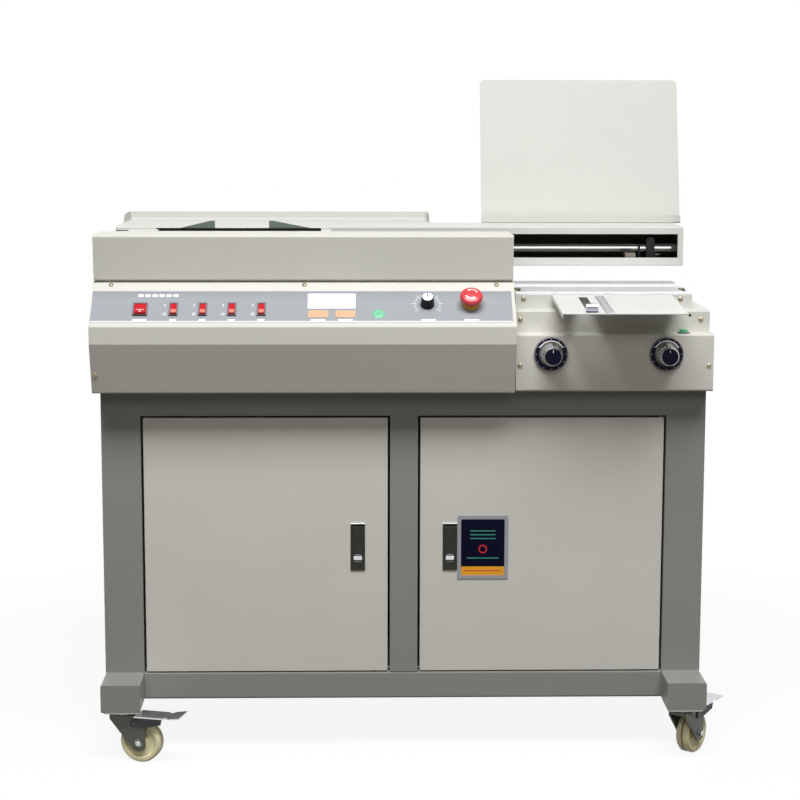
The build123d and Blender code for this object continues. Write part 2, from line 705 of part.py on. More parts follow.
def make_panel_bezels():
    pieces = [rocker_bezel(x, width) for x, width in (MAIN_ROCKER,) + ROCKERS]
    pieces += [dial_ring(x) for x in DIALS_X]
    flange = upright(*START_AT, (TIER_ONE_TOP, TIER_ONE_TOP + 2), START_FLANGE_R)
    flange += upright(*START_AT, (TIER_ONE_TOP - 12, TIER_ONE_TOP), START_R + 1.5)
    flange -= upright(*START_AT, (TIER_ONE_TOP - 12, TIER_ONE_TOP + 3), START_R + RUN)
    return Compound(children=pieces + [flange])


def make_speed_knob():
    shaft_low = -8
    outline = [
        (0, shaft_low),
        (KNOB_SHAFT_R, shaft_low),
        (KNOB_SHAFT_R, FILM_T + 0.3),
        (KNOB_R, FILM_T + 0.3),
        (KNOB_R - 0.6, 5),
        (KNOB_R - 1.8, KNOB_H - 2),
        (KNOB_CAP_R, KNOB_H),
        (0, KNOB_H),
    ]
    knob = turned(outline)
    for step in range(8):
        flute = Pos(KNOB_R + 2.2, 0, KNOB_H / 2 + 5) * Cylinder(3.2, KNOB_H)
        knob -= Rot(0, 0, step * 45 + 22.5) * flute
    knob += Pos(0, KNOB_CAP_R / 2, KNOB_H) * Box(1.4, KNOB_CAP_R - 1, 1.0)
    return on_panel(*KNOB_AT) * knob


def make_estop_collar():
    outline = [
        (STOP_STEM_R + RUN, -12),
        (STOP_NUT_R, -12),
        (STOP_NUT_R, FILM_T),
        (STOP_COLLAR_R, FILM_T),
        (STOP_COLLAR_R, STOP_COLLAR_H - 1),
        (STOP_COLLAR_R - 1, STOP_COLLAR_H),
        (STOP_STEM_R + RUN, STOP_COLLAR_H),
    ]
    return on_panel(*STOP_AT) * turned(outline)


def make_estop_head():
    cap_low, cap_high = STOP_UNDER, STOP_TOP
    rim = [
        Line((0, -10), (STOP_STEM_R, -10)),
        Line((STOP_STEM_R, -10), (STOP_STEM_R, cap_low)),
        Line((STOP_STEM_R, cap_low), (STOP_R - 5, cap_low)),
        ThreePointArc((STOP_R - 5, cap_low), (STOP_R, cap_low + 6), (STOP_R - 4, cap_high - 3)),
        crown((STOP_R - 4, cap_high - 3), cap_high),
        Line((0, cap_high), (0, -10)),
    ]
    return on_panel(*STOP_AT) * revolve(Plane.XZ * make_face(rim), Axis.Z)


# Upper cover: a hood hinged along its rear top edge on three knuckle hinges
def hinge_knuckle(middle, length, bore):
    x = (middle - length / 2, middle + length / 2)
    return rod_along_x(x, *HINGE, HINGE_R) - rod_along_x(x, *HINGE, bore)


def make_upper_cover():
    low_y, low_z = HOOD_FOOT
    line = [(HOOD_REAR_Y, HOOD_TOP_Z), (HOOD_TOP_Y, HOOD_TOP_Z), (low_y, low_z), (low_y + HOOD_HEM, low_z)]
    hood = sheet_along_x(line, HOOD_T, HOOD_X)
    skirt = [(low_y, low_z), (HOOD_TOP_Y, HOOD_TOP_Z), (HOOD_REAR_Y, HOOD_TOP_Z), (HOOD_REAR_Y, 912), (74, low_z)]
    skirt[0] = (low_y + 0.5, low_z + 0.5)
    skirt[1] = (HOOD_TOP_Y + 1.5, HOOD_TOP_Z - 1)
    skirt[2] = (HOOD_REAR_Y, HOOD_TOP_Z - HOOD_T / 2)
    hood += side_plate(skirt, (HOOD_X[0], HOOD_X[0] + HOOD_T))
    hood += side_plate(skirt, (HOOD_X[1] - HOOD_T, HOOD_X[1]))
    for middle in HINGE_PLACES:
        x = (middle - KNUCKLE_L / 2, middle + KNUCKLE_L / 2)
        tab = block(x, (HOOD_REAR_Y - 1, HINGE[0]), (HOOD_TOP_Z - HOOD_T, HOOD_TOP_Z))
        tab -= rod_along_x(x, *HINGE, HINGE_PIN_R + RUN)
        hood += tab + hinge_knuckle(middle, KNUCKLE_L, HINGE_PIN_R + RUN)
    return hood


def make_cover_hinge_rail():
    web_y = HINGE[0] + HINGE_R
    line = [(RAIL_FOOT_Y, RAIL_LOW), (web_y, RAIL_LOW), (web_y, RAIL_TOP)]
    rail = sheet_along_x(line, RAIL_T, RAIL_X)
    plate = [(RAIL_PLATE_Y, DECK_TOP), (RAIL_PLATE_Y, 880), (RAIL_FOOT_Y, RAIL_TOP), (web_y, RAIL_TOP), (web_y, DECK_TOP)]
    rail += side_plate(plate, (RAIL_X[0], RAIL_X[0] + RAIL_T))
    rail += side_plate(plate, (RAIL_X[1] - RAIL_T, RAIL_X[1]))
    pins = []
    for middle in HINGE_PLACES:
        for side in (-1, 1):
            at = middle + side * (KNUCKLE_L + KNUCKLE_GAP)
            x = (at - KNUCKLE_L / 2, at + KNUCKLE_L / 2)
            leaf = block(x, (web_y - RAIL_T, web_y), (RAIL_TOP - 1, HINGE[1]))
            leaf -= rod_along_x(x, *HINGE, HINGE_PIN_R)
            rail += leaf + hinge_knuckle(at, KNUCKLE_L, HINGE_PIN_R)
        reach = 1.5 * KNUCKLE_L + KNUCKLE_GAP
        pins.append(rod_along_x((middle - reach, middle + reach), *HINGE, HINGE_PIN_R))
    return Compound(children=[rail] + pins)


def make_rear_wall():
    inner = BEAM_Y[1] - 36
    line = [(inner, DECK_TOP), (BEAM_Y[1], DECK_TOP), (BEAM_Y[1], BEAM_Z[0]), (inner, BEAM_Z[0])]
    wall = sheet_along_x(line, COVER_T, (HOUSING_X[0] + COVER_T, HOUSING_X[1] - COVER_T))
    drive = upright(PULLEY_X[0], BELT_Y, (MOTOR_Z[1], BEAM_Z[0]), PULLEY_SHAFT_R + 2)
    return wall - drive


# Guide beam: a closed box section with a long window, the rod, the belt and the pulleys
def make_guide_beam():
    beam = block(BEAM_X, BEAM_Y, BEAM_Z)
    beam = fillet(beam.edges().filter_by(Axis.X), BEND)
    inner = [(a + BEAM_T, b - BEAM_T) for a, b in (BEAM_X, BEAM_Y, BEAM_Z)]
    beam -= block(*inner)
    beam -= block(WINDOW_X, (BEAM_Y[0] - 1, BEAM_Y[0] + 2 * BEAM_T), WINDOW_Z)
    floor = (BEAM_Z[0], BEAM_Z[0] + BEAM_T)
    beam -= upright(PULLEY_X[0], BELT_Y, floor, PULLEY_SHAFT_R + RUN)
    return beam + upright(PULLEY_X[1], BELT_Y, (floor[0] + 1, BELT_Z[1] + 4), PULLEY_SHAFT_R)


def make_guide_rod():
    return rod_along_x((BEAM_X[0] + BEAM_T, BEAM_X[1] - BEAM_T), *ROD_AT, ROD_R)


def make_rod_brackets():
    y, z = ROD_AT
    base = BEAM_Z[0] + BEAM_T
    right = block(STOP_BRACKET_X, (y - 13, y + 13), (base, z + 21))
    right = chamfer(right.edges().filter_by(Axis.Y).group_by(Axis.Z)[-1], 5)
    right += block((BUFFER_X[0], STOP_BRACKET_X[0]), (y - 13, y + 13), (base, base + 4))
    buffer = block(BUFFER_X, (y - 11, y + 11), (base, z + ROD_R + 3))
    right += fillet(buffer.edges().filter_by(Axis.X).group_by(Axis.Z)[-1], 6)
    left = block((BEAM_X[0] + 6, BEAM_X[0] + 22), (y - 13, y + 13), (base, z + 12))
    rod = rod_along_x(BEAM_X, y, z, ROD_R)
    switch = block(SWITCH_X, (203, 222), (base, base + 20))
    switch += rod_along_y(SWITCH_X[0] + 5, (206, 219), base + 20, 2.5)
    return Compound(children=[right - rod, left - rod, switch])


def belt_loop(radius):
    """Racetrack round both pulleys, seen from above."""
    length = PULLEY_X[1] - PULLEY_X[0]
    middle = (PULLEY_X[0] + PULLEY_X[1]) / 2
    return Pos(middle, BELT_Y) * SlotCenterToCenter(length, 2 * radius)


def make_drive_belt():
    loop = belt_loop(BELT_R + BELT_T) - belt_loop(BELT_R)
    return extrude(Plane.XY.offset(BELT_Z[0]) * loop, BELT_Z[1] - BELT_Z[0])


def make_pulley(end):
    x = PULLEY_X[end]
    low, high = BELT_Z[0] - BUTT, BELT_Z[1] + BUTT
    flanges = ((low - 3, low), (high, high + 3))
    pulley = upright(x, BELT_Y, (low - 3, high + 3), BELT_R - BUTT)
    for z in flanges:
        pulley += upright(x, BELT_Y, z, PULLEY_FLANGE_R)
    if end == 0:
        return pulley + upright(x, BELT_Y, (MOTOR_Z[1] - 20, low), PULLEY_SHAFT_R)
    return pulley - upright(x, BELT_Y, (0, HOOD_TOP_Z), PULLEY_SHAFT_R + RUN)


def make_drive_motors():
    x = (PULLEY_X[0] - MOTOR_W / 2, PULLEY_X[0] + MOTOR_W / 2)
    y = (BELT_Y - MOTOR_W / 2, BELT_Y + MOTOR_W / 2)
    carriage = block(x, y, MOTOR_Z)
    carriage = fillet(carriage.edges().filter_by(Axis.Z), 8)
    spacer = (MOTOR_Z[1], BEAM_Z[0])
    carriage += upright(PULLEY_X[0], BELT_Y, spacer, PULLEY_SHAFT_R + 2)
    carriage -= upright(PULLEY_X[0], BELT_Y, (MOTOR_Z[1] - 25, BEAM_Z[0]), PULLEY_SHAFT_R + RUN)
    mill = upright(CUTTER_X, SPINE_Y, (DECK_TOP, MILL_MOTOR_TOP), MILL_MOTOR_R)
    for step in range(12):
        groove = Pos(MILL_MOTOR_R, 0, (DECK_TOP + MILL_MOTOR_TOP) / 2) * Box(6, 4, MILL_MOTOR_TOP - DECK_TOP - 40)
        mill -= Pos(CUTTER_X, SPINE_Y, 0) * Rot(0, 0, step * 30) * groove
    mill -= upright(CUTTER_X, SPINE_Y, (MILL_MOTOR_TOP - 40, MILL_MOTOR_TOP), CUTTER_SHAFT_R + RUN)
    return Compound(children=[carriage, mill])


# Clamp carriage: rear jaw, cheeks and bridge in one weldment, and the front jaw that slides in its grooves
def make_clamp_carriage():
    left, right = (CLAMP_X[0], SLOT_X[0]), (SLOT_X[1], CLAMP_X[1])
    body = block(CLAMP_X, REAR_JAW_Y, (CLAMP_LOW, CLAMP_TOP))
    for cheek in (left, right):
        body += block(cheek, (CLAMP_Y, REAR_JAW_Y[0]), (CHEEK_LOW, CLAMP_TOP))
    body += block(CLAMP_X, (CLAMP_Y, BRIDGE_Y), (CLAMP_TOP - BRIDGE_T, CLAMP_TOP))
    body += block(CLAMP_X, (CLAMP_Y, CLAMP_Y + APRON_T), (CHEEK_LOW, CLAMP_TOP))
    groove_z = (TONGUE_Z[0] - BUTT, TONGUE_Z[1] + BUTT)
    groove_x = (SLOT_X[0] - TONGUE, SLOT_X[1] + TONGUE)
    grooves = block(groove_x, (CLAMP_Y + 15, REAR_JAW_Y[0]), groove_z)
    body -= grooves
    body = chamfer(body.edges().filter_by(Axis.X).group_by(Axis.Z)[-1].sort_by(Axis.Y)[0], 1.0)
    for x in ARMS_X:
        body += block(x, (REAR_JAW_Y[1] - 1, ARM_REACH), ARM_Z)
        shoe_z = (BEAM_Z[0] + BEAM_T, ARM_Z[0])
        body += block(x, (ROD_AT[0] - 9, ROD_AT[0] + 9), shoe_z)
    tail_y = (ARM_REACH, BELT_Y - BELT_R - BELT_T - BUTT)
    body += block(ARMS_X[0], tail_y, (BELT_Z[0], BELT_Z[1]))
    return body - rod_along_x(CLAMP_X, *ROD_AT, ROD_R + RUN)


def make_clamp_fittings():
    pieces = []
    y = (REAR_JAW_Y[0] + 0.5, REAR_JAW_Y[0] + 0.5 + FIN_T)
    for low, tall in FINS:
        way = 1 if tall > low else -1
        outline = [
            (low, CLAMP_TOP),
            (tall, CLAMP_TOP),
            (tall, CLAMP_TOP + FIN_H),
            (tall - way * 8, CLAMP_TOP + FIN_H),
            (low, CLAMP_TOP + 2),
        ]
        fin = extrude(Plane.XZ.offset(-y[1]) * make_face(Polyline(*outline, close=True)), FIN_T)
        base = (min(low, tall), max(low, tall))
        fin += block(base, (y[1], REAR_JAW_Y[1]), (CLAMP_TOP, CLAMP_TOP + 2))
        pieces.append(fin)
    plug = block(PLUG_X, (CLAMP_Y + 12, CLAMP_Y + 26), (CLAMP_TOP, CLAMP_TOP + 2.5))
    pieces.append(fillet(plug.edges().filter_by(Axis.Z), 3))
    return Compound(children=pieces)


def make_clamp_jaw():
    x = (SLOT_X[0] + GAP, SLOT_X[1] - GAP)
    top = CLAMP_TOP - BRIDGE_T - GAP
    jaw = block(x, JAW_Y, (CLAMP_LOW, top))
    jaw += block(x, (JAW_FLANGE_Y, JAW_Y[1]), (top - JAW_FLANGE_T, top))
    tongue_x = (SLOT_X[0] - TONGUE + GAP, SLOT_X[1] + TONGUE - GAP)
    jaw += block(tongue_x, JAW_Y, TONGUE_Z)
    ribs_z = (CLAMP_LOW + 12, top - JAW_FLANGE_T)
    span = SLOT_X[1] - SLOT_X[0]
    for share in (0.2, 0.5, 0.8):
        rib_x = SLOT_X[0] + share * span
        jaw += block((rib_x - 3, rib_x + 3), (JAW_FLANGE_Y, JAW_Y[0]), ribs_z)
    return jaw


# Inside the left housing
def make_spine_plates():
    front, rear = LOAD_PLATE_Y
    line = [(rear, DECK_TOP), (rear, LOAD_PLATE_Z), (front, LOAD_PLATE_Z), (front, DECK_TOP)]
    loading = sheet_along_x(line, 3.0, LOAD_PLATE_X, 3.0)
    nip = block(PLATE_X, NIP_PLATE_Y, (BED_Z[1], PLATE_TOP))
    nip = chamfer(nip.edges().filter_by(Axis.X).group_by(Axis.Z)[-1], 1.0)
    for x in (PLATE_X[0] + 8, sum(PLATE_X) / 2, PLATE_X[1] - 8):
        nip -= upright(x, NIP_PLATE_Y[1] - 25, (BED_Z[1], PLATE_TOP), 3)
    return Compound(children=[loading, nip])


def make_glue_tank():
    inner_x = (TANK_X[0] + TANK_WALL, TANK_X[1] - TANK_WALL)
    inner_y = (TANK_Y[0] + TANK_WALL, TANK_Y[1] - TANK_WALL)
    tank = block(TANK_X, TANK_Y, TANK_Z)
    tank -= block(inner_x, inner_y, (TANK_Z[0] + TANK_WALL, TANK_Z[1]))
    for y in ((TANK_Y[0], inner_y[0]), (inner_y[1], TANK_Y[1])):
        tank += block(TANK_X, y, (DECK_TOP, TANK_Z[0]))
    shaft = rod_along_y(ROLLER_AT[0], TANK_Y, ROLLER_AT[1], ROLLER_SHAFT_R + RUN)
    return tank - shaft


def make_glue_roller():
    y = (TANK_Y[0] + TANK_WALL + 2, TANK_Y[1] - TANK_WALL - 2)
    roller = rod_along_y(ROLLER_AT[0], y, ROLLER_AT[1], ROLLER_R)
    shaft = rod_along_y(ROLLER_AT[0], (TANK_Y[0] - 10, TANK_Y[1] + 10), ROLLER_AT[1], ROLLER_SHAFT_R)
    return roller + shaft


def make_milling_cutter():
    place = Pos(CUTTER_X, SPINE_Y, 0)
    disc = upright(0, 0, (CUTTER_Z, CUTTER_Z + 10), CUTTER_R)
    disc += upright(0, 0, (MILL_MOTOR_TOP + 2, CUTTER_Z), CUTTER_SHAFT_R + 12)
    disc += upright(0, 0, (MILL_MOTOR_TOP - 35, CUTTER_Z), CUTTER_SHAFT_R)
    tooth_points = [(0, 0), (12, 0), (12, 6), (3, 6)]
    tooth = extrude(Plane.XZ.offset(-3) * make_face(Polyline(*tooth_points, close=True)), 6)
    for step in range(CUTTER_TEETH):
        seat = Rot(0, 0, step * 360 / CUTTER_TEETH) * Pos(CUTTER_R - 6, 0, CUTTER_Z + 10) * Rot(0, 0, 90)
        disc += seat * Pos(-6, 0, 0) * tooth
    return place * disc


# Nip station: front and middle covers, the bed, the fixed plate, the moving jaw and the lifting table
def nip_end_plate(x, rear):
    """Flat end of the front cover, let halfway into the thickness of the folded sheet."""
    half = COVER_T / 2
    low, top, front = TIER_ONE_LOW + half, TIER_ONE_TOP - half, TIER_ONE_Y + half
    plate = side_plate([(front, low), (front, top), (rear, top), (rear, low)], (x, x + COVER_T))
    return fillet(plate.edges().filter_by(Axis.X).group_by(Axis.Y)[0], BEND + half)


def make_nip_front_cover():
    low, top, front = TIER_ONE_LOW, TIER_ONE_TOP, TIER_ONE_Y
    line = [(TIER_TWO_Y, top), (front, top), (front, low), (-3, low)]
    cover = sheet_along_x(line, COVER_T, TIER_ONE_X)
    cover += nip_end_plate(TIER_ONE_X[0], TIER_TWO_Y)
    cover += nip_end_plate(TIER_ONE_X[1] - COVER_T, HOUSING_REAR_Y)
    for x in DIALS_X:
        cover -= rod_along_y(x, (front - 1, front + 3 * COVER_T), DIAL_Z, DIAL_SHAFT_R + RUN)
    return cover - upright(*START_AT, (top - 10, top + 1), START_R + 1.5)


def make_nip_mid_cover():
    x, y, z = NIP_X, (TIER_TWO_Y, HOUSING_REAR_Y), (DECK_TOP, TIER_TWO_TOP)
    cover = block(x, y, z)
    cover = fillet(cover.edges().filter_by(Axis.X).group_by(Axis.Z)[-1], BEND)
    cover -= block(*[(a + COVER_T, b - COVER_T) for a, b in (x, y)], (z[0], z[1] - COVER_T))
    mouth = [(BED_X[0] - GAP, BED_X[1] + GAP), (BED_Y[0] - GAP, BED_Y[1] + GAP)]
    cover -= block(*mouth, (z[0], z[1]))
    return cover - rod_along_y(NIP_X[1] - 35, (y[0] - 1, y[0] + 2 * COVER_T), z[1] - 8, 2.5)


def make_nip_bed():
    bed = block(BED_X, BED_Y, BED_Z) - block(NIP_TABLE_X, NIP_TABLE_Y, BED_Z)
    legs_y = (BED_Y[0] + 20, BED_Y[1] - 20)
    for leg in ((BED_X[0], BED_X[0] + BED_LEG), (BED_X[1] - BED_LEG, BED_X[1])):
        bed += block(leg, legs_y, (DECK_TOP, BED_Z[0]))
    bar_y = (NIP_MID_Y - 22, NIP_MID_Y + 22)
    bed += block((BED_X[0] + 1, BED_X[1] - 1), bar_y, CROSSBAR_Z)
    for x in POST_X:
        bed -= upright(x, NIP_MID_Y, CROSSBAR_Z, POST_R + RUN)
    return bed


def make_nip_table():
    x = (NIP_TABLE_X[0] + GAP, NIP_TABLE_X[1] - GAP)
    y = (NIP_TABLE_Y[0] + GAP, NIP_TABLE_Y[1] - GAP)
    table = block(x, y, (BED_Z[1] - NIP_TABLE_T, BED_Z[1]))
    for at in POST_X:
        table += upright(at, NIP_MID_Y, (CROSSBAR_Z[0] - 15, BED_Z[1] - NIP_TABLE_T), POST_R)
    return table


def make_nip_jaw():
    jaw = block(PLATE_X, NIP_JAW_Y, (BED_Z[1], PLATE_TOP))
    jaw = chamfer(jaw.edges().filter_by(Axis.X).group_by(Axis.Z)[-1], 1.0)
    for x, y in GUIDE_SCREWS:
        slot = SlotCenterToCenter(NIP_TRAVEL + 1, 2 * (GUIDE_SCREW_R + RUN), 90)
        jaw -= extrude(Pos(x, y - NIP_TRAVEL / 2, BED_Z[1]) * slot, PLATE_TOP - BED_Z[1])
    return jaw


def guide_screw(x, y):
    """Shoulder screw in the bed, its head over the jaw's slot."""
    head = (PLATE_TOP + BUTT, PLATE_TOP + 2.3)
    screw = upright(x, y, (BED_Z[1], head[1]), GUIDE_SCREW_R) + upright(x, y, head, GUIDE_SCREW_R + 2.2)
    socket = Pos(x, y, head[1]) * extrude(RegularPolygon(2.3, 6), -1.6)
    return screw - socket


# Cover-paper table: a thin plate with a turned-down left flange, two welded ribs and three tabs
def make_cover_table():
    length = TABLE_LENGTH
    width = TABLE_X[1] - TABLE_X[0]
    flange_line = [(TABLE_X[0], -TABLE_FLANGE), (TABLE_X[0], 0), (TABLE_X[1], 0)]
    section = folded_section([(x, z) for x, z in reversed(flange_line)], TABLE_T, 1.0)
    plate = extrude(Plane.XZ * section, -length)
    slot_mid = sum(TABLE_SLOT_V) / 2
    slot_length = TABLE_SLOT_V[1] - TABLE_SLOT_V[0]
    plate -= Pos(TABLE_SLOT_X, slot_mid, 0) * Box(TABLE_SLOT_W, slot_length, 4 * TABLE_T)
    flange_cut = (BED_Y[0] - 6 - TABLE_FRONT[0], length + 1)
    plate -= block((TABLE_X[0] - 1, TABLE_X[0] + 4), flange_cut, (-TABLE_FLANGE - 1, -TABLE_T - 1.5))
    for x in TABLE_TABS_X:
        plate += Pos(x, length - TABLE_T / 2, 1) * Box(7, TABLE_T, 4)
    table = TABLE * plate
    ledge = TIER_TWO_TOP
    slope = tan(radians(TABLE_ANGLE))
    for x in TABLE_RIBS_X:
        rib_y = (TIER_TWO_Y + 3, BED_Y[0] - 3)
        tops = [TABLE_FRONT[1] + slope * (y - TABLE_FRONT[0]) - 0.3 for y in rib_y]
        outline = [(rib_y[0], ledge), (rib_y[0], tops[0]), (rib_y[1], tops[1]), (rib_y[1], ledge)]
        table += side_plate(outline, (x, x + 6))
    return table


def make_side_guide():
    width, depth, height = GUIDE_BLOCK
    place = TABLE * Pos(TABLE_SLOT_X, GUIDE_V + depth / 2, 0)
    guide = Pos(0, 0, height / 2) * Box(width, depth, height)
    guide = chamfer(guide.edges().filter_by(Axis.X).group_by(Axis.Z)[-1], 4)
    guide += Pos(0, 0, -TABLE_T / 2) * Box(TABLE_SLOT_W - 2 * BUTT, depth - 2, TABLE_T)
    guide += Pos(0, 0, -TABLE_T - 1) * Box(width + 2, depth - 2, 2)
    return place * guide


def make_position_knob(x):
    front = DIAL_T + GRIP_L
    outline = [
        (0, -20),
        (DIAL_SHAFT_R, -20),
        (DIAL_SHAFT_R, DIAL_T + BUTT),
        (GRIP_R + 4, DIAL_T + BUTT),
        (GRIP_R + 4, DIAL_T + 4),
        (GRIP_R, DIAL_T + 14),
        (GRIP_R, front - 3),
        (GRIP_R - 2, front),
        (0, front),
    ]
    knob = turned(outline)
    for step in range(16):
        flute = Pos(GRIP_R + 1.2, 0, DIAL_T + 26) * Cylinder(2.0, 16)
        knob -= Rot(0, 0, step * 22.5) * flute
    return Pos(x, TIER_ONE_Y, DIAL_Z) * Rot(90, 0, 0) * knob


def make_start_button():
    z = (TIER_ONE_TOP - 10, TIER_ONE_TOP + START_H)
    button = upright(*START_AT, z, START_R)
    return chamfer(button.edges().filter_by(GeomType.CIRCLE).group_by(Axis.Z)[-1], 1.0)


# Rear tray, paper board and screws
def make_rear_tray():
    front, rear = BEAM_Y[1], BEAM_Y[1] + TRAY_DEPTH
    line = [
        (rear, TRAY_Z + TRAY_LIP),
        (rear, TRAY_Z),
        (front, TRAY_Z),
        (front, TRAY_Z - TRAY_HOOK),
    ]
    tray = sheet_along_x(line, TRAY_T, TRAY_X)
    lip = [
        (front + 30, TRAY_Z - TRAY_T),
        (front + 42, TRAY_Z + TRAY_LIP),
        (rear + TRAY_T, TRAY_Z + TRAY_LIP),
        (rear + TRAY_T, TRAY_Z + 2),
        (rear - 2, TRAY_Z - TRAY_T),
    ]
    tray += side_plate(lip, (TRAY_X[0], TRAY_X[0] + TRAY_T))
    tray += side_plate(lip, (TRAY_X[1] - TRAY_T, TRAY_X[1]))
    gusset = [(front, TRAY_Z - 2), (rear - 20, TRAY_Z - TRAY_T / 2), (rear - 20, TRAY_Z - 6), (front, BEAM_Z[0] + 8)]
    for x in GUSSET_X:
        tray += side_plate(gusset, (x, x + 2 * TRAY_T))
    return tray


def make_paper_board():
    base = BEAM_Z[1]
    line = [(BOARD_LIP_Y, base + BOARD_LIP), (BOARD_LIP_Y, base), (BOARD_LIP_Y + BOARD_BASE, base), BOARD_TOP]
    board = sheet_along_x(line, BOARD_T, BOARD_X, 1.0)
    corners = board.edges().filter_by(GeomType.LINE).group_by(Axis.Z)[-1]
    ends = board.edges().filter_by(lambda edge: edge.center().Z > BOARD_TOP[1] - 2 and abs(edge.length - BOARD_T) < 0.01)
    return fillet(ends, BOARD_CORNER) if len(corners) else board


def screw_head():
    half = SCREW_R
    face = make_face(
        [
            Line((0, 0), (half, 0)),
            Line((half, 0), (half, 0.9)),
            crown((half, 0.9), SCREW_H),
            Line((0, SCREW_H), (0, 0)),
        ]
    )
    head = revolve(Plane.XZ * face, Axis.Z)
    return head - Pos(0, 0, SCREW_H) * Box(5, 0.9, 1.6) - Pos(0, 0, SCREW_H) * Box(0.9, 5, 1.6)


def make_cover_screws():
    lower_way = heading((LIP_Y, HOUSING_LOW), (NOSE_Y, KINK_Z))
    lower_face = Plane(
        origin=(0, LIP_Y, HOUSING_LOW), x_dir=(1, 0, 0), z_dir=(0, -lower_way[1], lower_way[0])
    )
    places = [on_panel(x, 100.0) for x in (-516.0, -176.6, 162.3)]
    places.append(lower_face * Pos(HOUSING_X[0] + 8, 36.0, 0))
    fronts = [
        (TIER_ONE_Y, 713.0, (TIER_ONE_X[0] + 7, TIER_ONE_X[1] - 8)),
        (TIER_TWO_Y, 791.5, (NIP_X[0] + 9, NIP_X[1] - 15.5)),
        (BED_Y[0], 823.0, (BED_X[0] + 14.5, BED_X[1] - 20.5)),
    ]
    for y, z, row in fronts:
        places += [Plane(origin=(x, y, z), x_dir=(1, 0, 0), z_dir=(0, -1, 0)) for x in row]
    screws = [place * screw_head() for place in places]
    return Compound(children=screws + [guide_screw(*at) for at in GUIDE_SCREWS])


def build_nodes():
    """Every sub-part by its node name."""
    nodes = {
        "cabinet_frame": make_cabinet_frame(),
        "cabinet_panels": make_cabinet_panels(),
        "caster_plates": make_caster_plates(),
        "lower_cover": make_lower_cover(),
        "panel_film": make_panel_film(),
        "panel_bezels": make_panel_bezels(),
        "estop_collar": make_estop_collar(),
        "cover_hinge_rail": make_cover_hinge_rail(),
        "rear_wall": make_rear_wall(),
        "guide_beam": make_guide_beam(),
        "guide_rod": make_guide_rod(),
        "rod_brackets": make_rod_brackets(),
        "drive_belt": make_drive_belt(),
        "drive_motors": make_drive_motors(),
        "rear_tray": make_rear_tray(),
        "paper_board": make_paper_board(),
        "spine_plates": make_spine_plates(),
        "glue_tank": make_glue_tank(),
        "nip_front_cover": make_nip_front_cover(),
        "nip_mid_cover": make_nip_mid_cover(),
        "nip_bed": make_nip_bed(),
        "cover_table": make_cover_table(),
        "cover_screws": make_cover_screws(),
        "upper_cover": make_upper_cover(),
        "clamp_carriage": make_clamp_carriage(),
        "clamp_fittings": make_clamp_fittings(),
        "clamp_jaw": make_clamp_jaw(),
        "nip_jaw": make_nip_jaw(),
        "nip_table": make_nip_table(),
        "side_guide": make_side_guide(),
        "position_knob_left": make_position_knob(DIALS_X[0]),
        "position_knob_right": make_position_knob(DIALS_X[1]),
        "start_button": make_start_button(),
        "main_rocker": make_rocker(*MAIN_ROCKER),
        "speed_knob": make_speed_knob(),
        "estop_head": make_estop_head(),
        "glue_roller": make_glue_roller(),
        "milling_cutter": make_milling_cutter(),
        "drive_pulley": make_pulley(0),
        "idler_pulley": make_pulley(1),
    }
    for number, place in enumerate(ROCKERS, 1):
        nodes[f"rocker_{number}"] = make_rocker(*place)
    for side in ("left", "right"):
        nodes[f"{side}_door"] = on_side(Compound(children=[right_door(), latch_housing()]), side)
        nodes[f"{side}_latch_handle"] = on_side(latch_paddle(), side)
        nodes[f"{side}_latch_button"] = on_side(latch_button(), side)
    for name in FORK_TURNS:
        nodes[f"caster_fork_{name}"] = make_fork(name)
        nodes[f"caster_wheel_{name}"] = make_wheel(name)
        if name.startswith("front"):
            nodes[f"brake_pedal_{name}"] = make_pedal(name)
    return nodes


NODES = build_nodes()
BOXES = [node.bounding_box() for node in NODES.values()]
MIDDLE_X = (min(b.min.X for b in BOXES) + max(b.max.X for b in BOXES)) / 2
MIDDLE_Y = (min(b.min.Y for b in BOXES) + max(b.max.Y for b in BOXES)) / 2

os.makedirs("parts", exist_ok=True)
for name, node in NODES.items():
    export_step(Pos(-MIDDLE_X, -MIDDLE_Y, 0) * node, f"parts/{name}.step")
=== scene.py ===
"""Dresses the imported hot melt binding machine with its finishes, printing, plates and small trim.

Lengths are in the maker's drawing millimetres: X to the right of the cabinet's middle, Y back from its
front face, Z up from the floor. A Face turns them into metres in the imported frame.
"""

import logging
import math
from collections.abc import Iterable
from dataclasses import dataclass, field
from enum import Enum
from functools import cache, reduce
from operator import add

import bmesh
import bpy
import numpy as np
from mathutils import Matrix
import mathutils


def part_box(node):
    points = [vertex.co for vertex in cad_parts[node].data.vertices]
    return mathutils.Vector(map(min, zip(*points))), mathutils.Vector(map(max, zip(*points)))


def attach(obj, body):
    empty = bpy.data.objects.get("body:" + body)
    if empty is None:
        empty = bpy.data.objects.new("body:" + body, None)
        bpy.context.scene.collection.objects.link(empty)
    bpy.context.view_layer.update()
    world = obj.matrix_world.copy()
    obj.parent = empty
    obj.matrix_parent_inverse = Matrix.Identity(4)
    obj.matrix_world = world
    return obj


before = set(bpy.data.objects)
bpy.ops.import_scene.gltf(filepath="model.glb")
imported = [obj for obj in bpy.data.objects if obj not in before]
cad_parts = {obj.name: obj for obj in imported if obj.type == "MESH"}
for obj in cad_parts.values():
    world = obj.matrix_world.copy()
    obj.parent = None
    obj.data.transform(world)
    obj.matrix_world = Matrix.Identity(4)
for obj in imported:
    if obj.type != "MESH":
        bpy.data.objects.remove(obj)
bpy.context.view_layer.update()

LOG = logging.getLogger("binding_machine")
MILLIMETRE = 0.001
CABINET_REAR = 485.0
SMOOTH_ANGLE = math.radians(38)

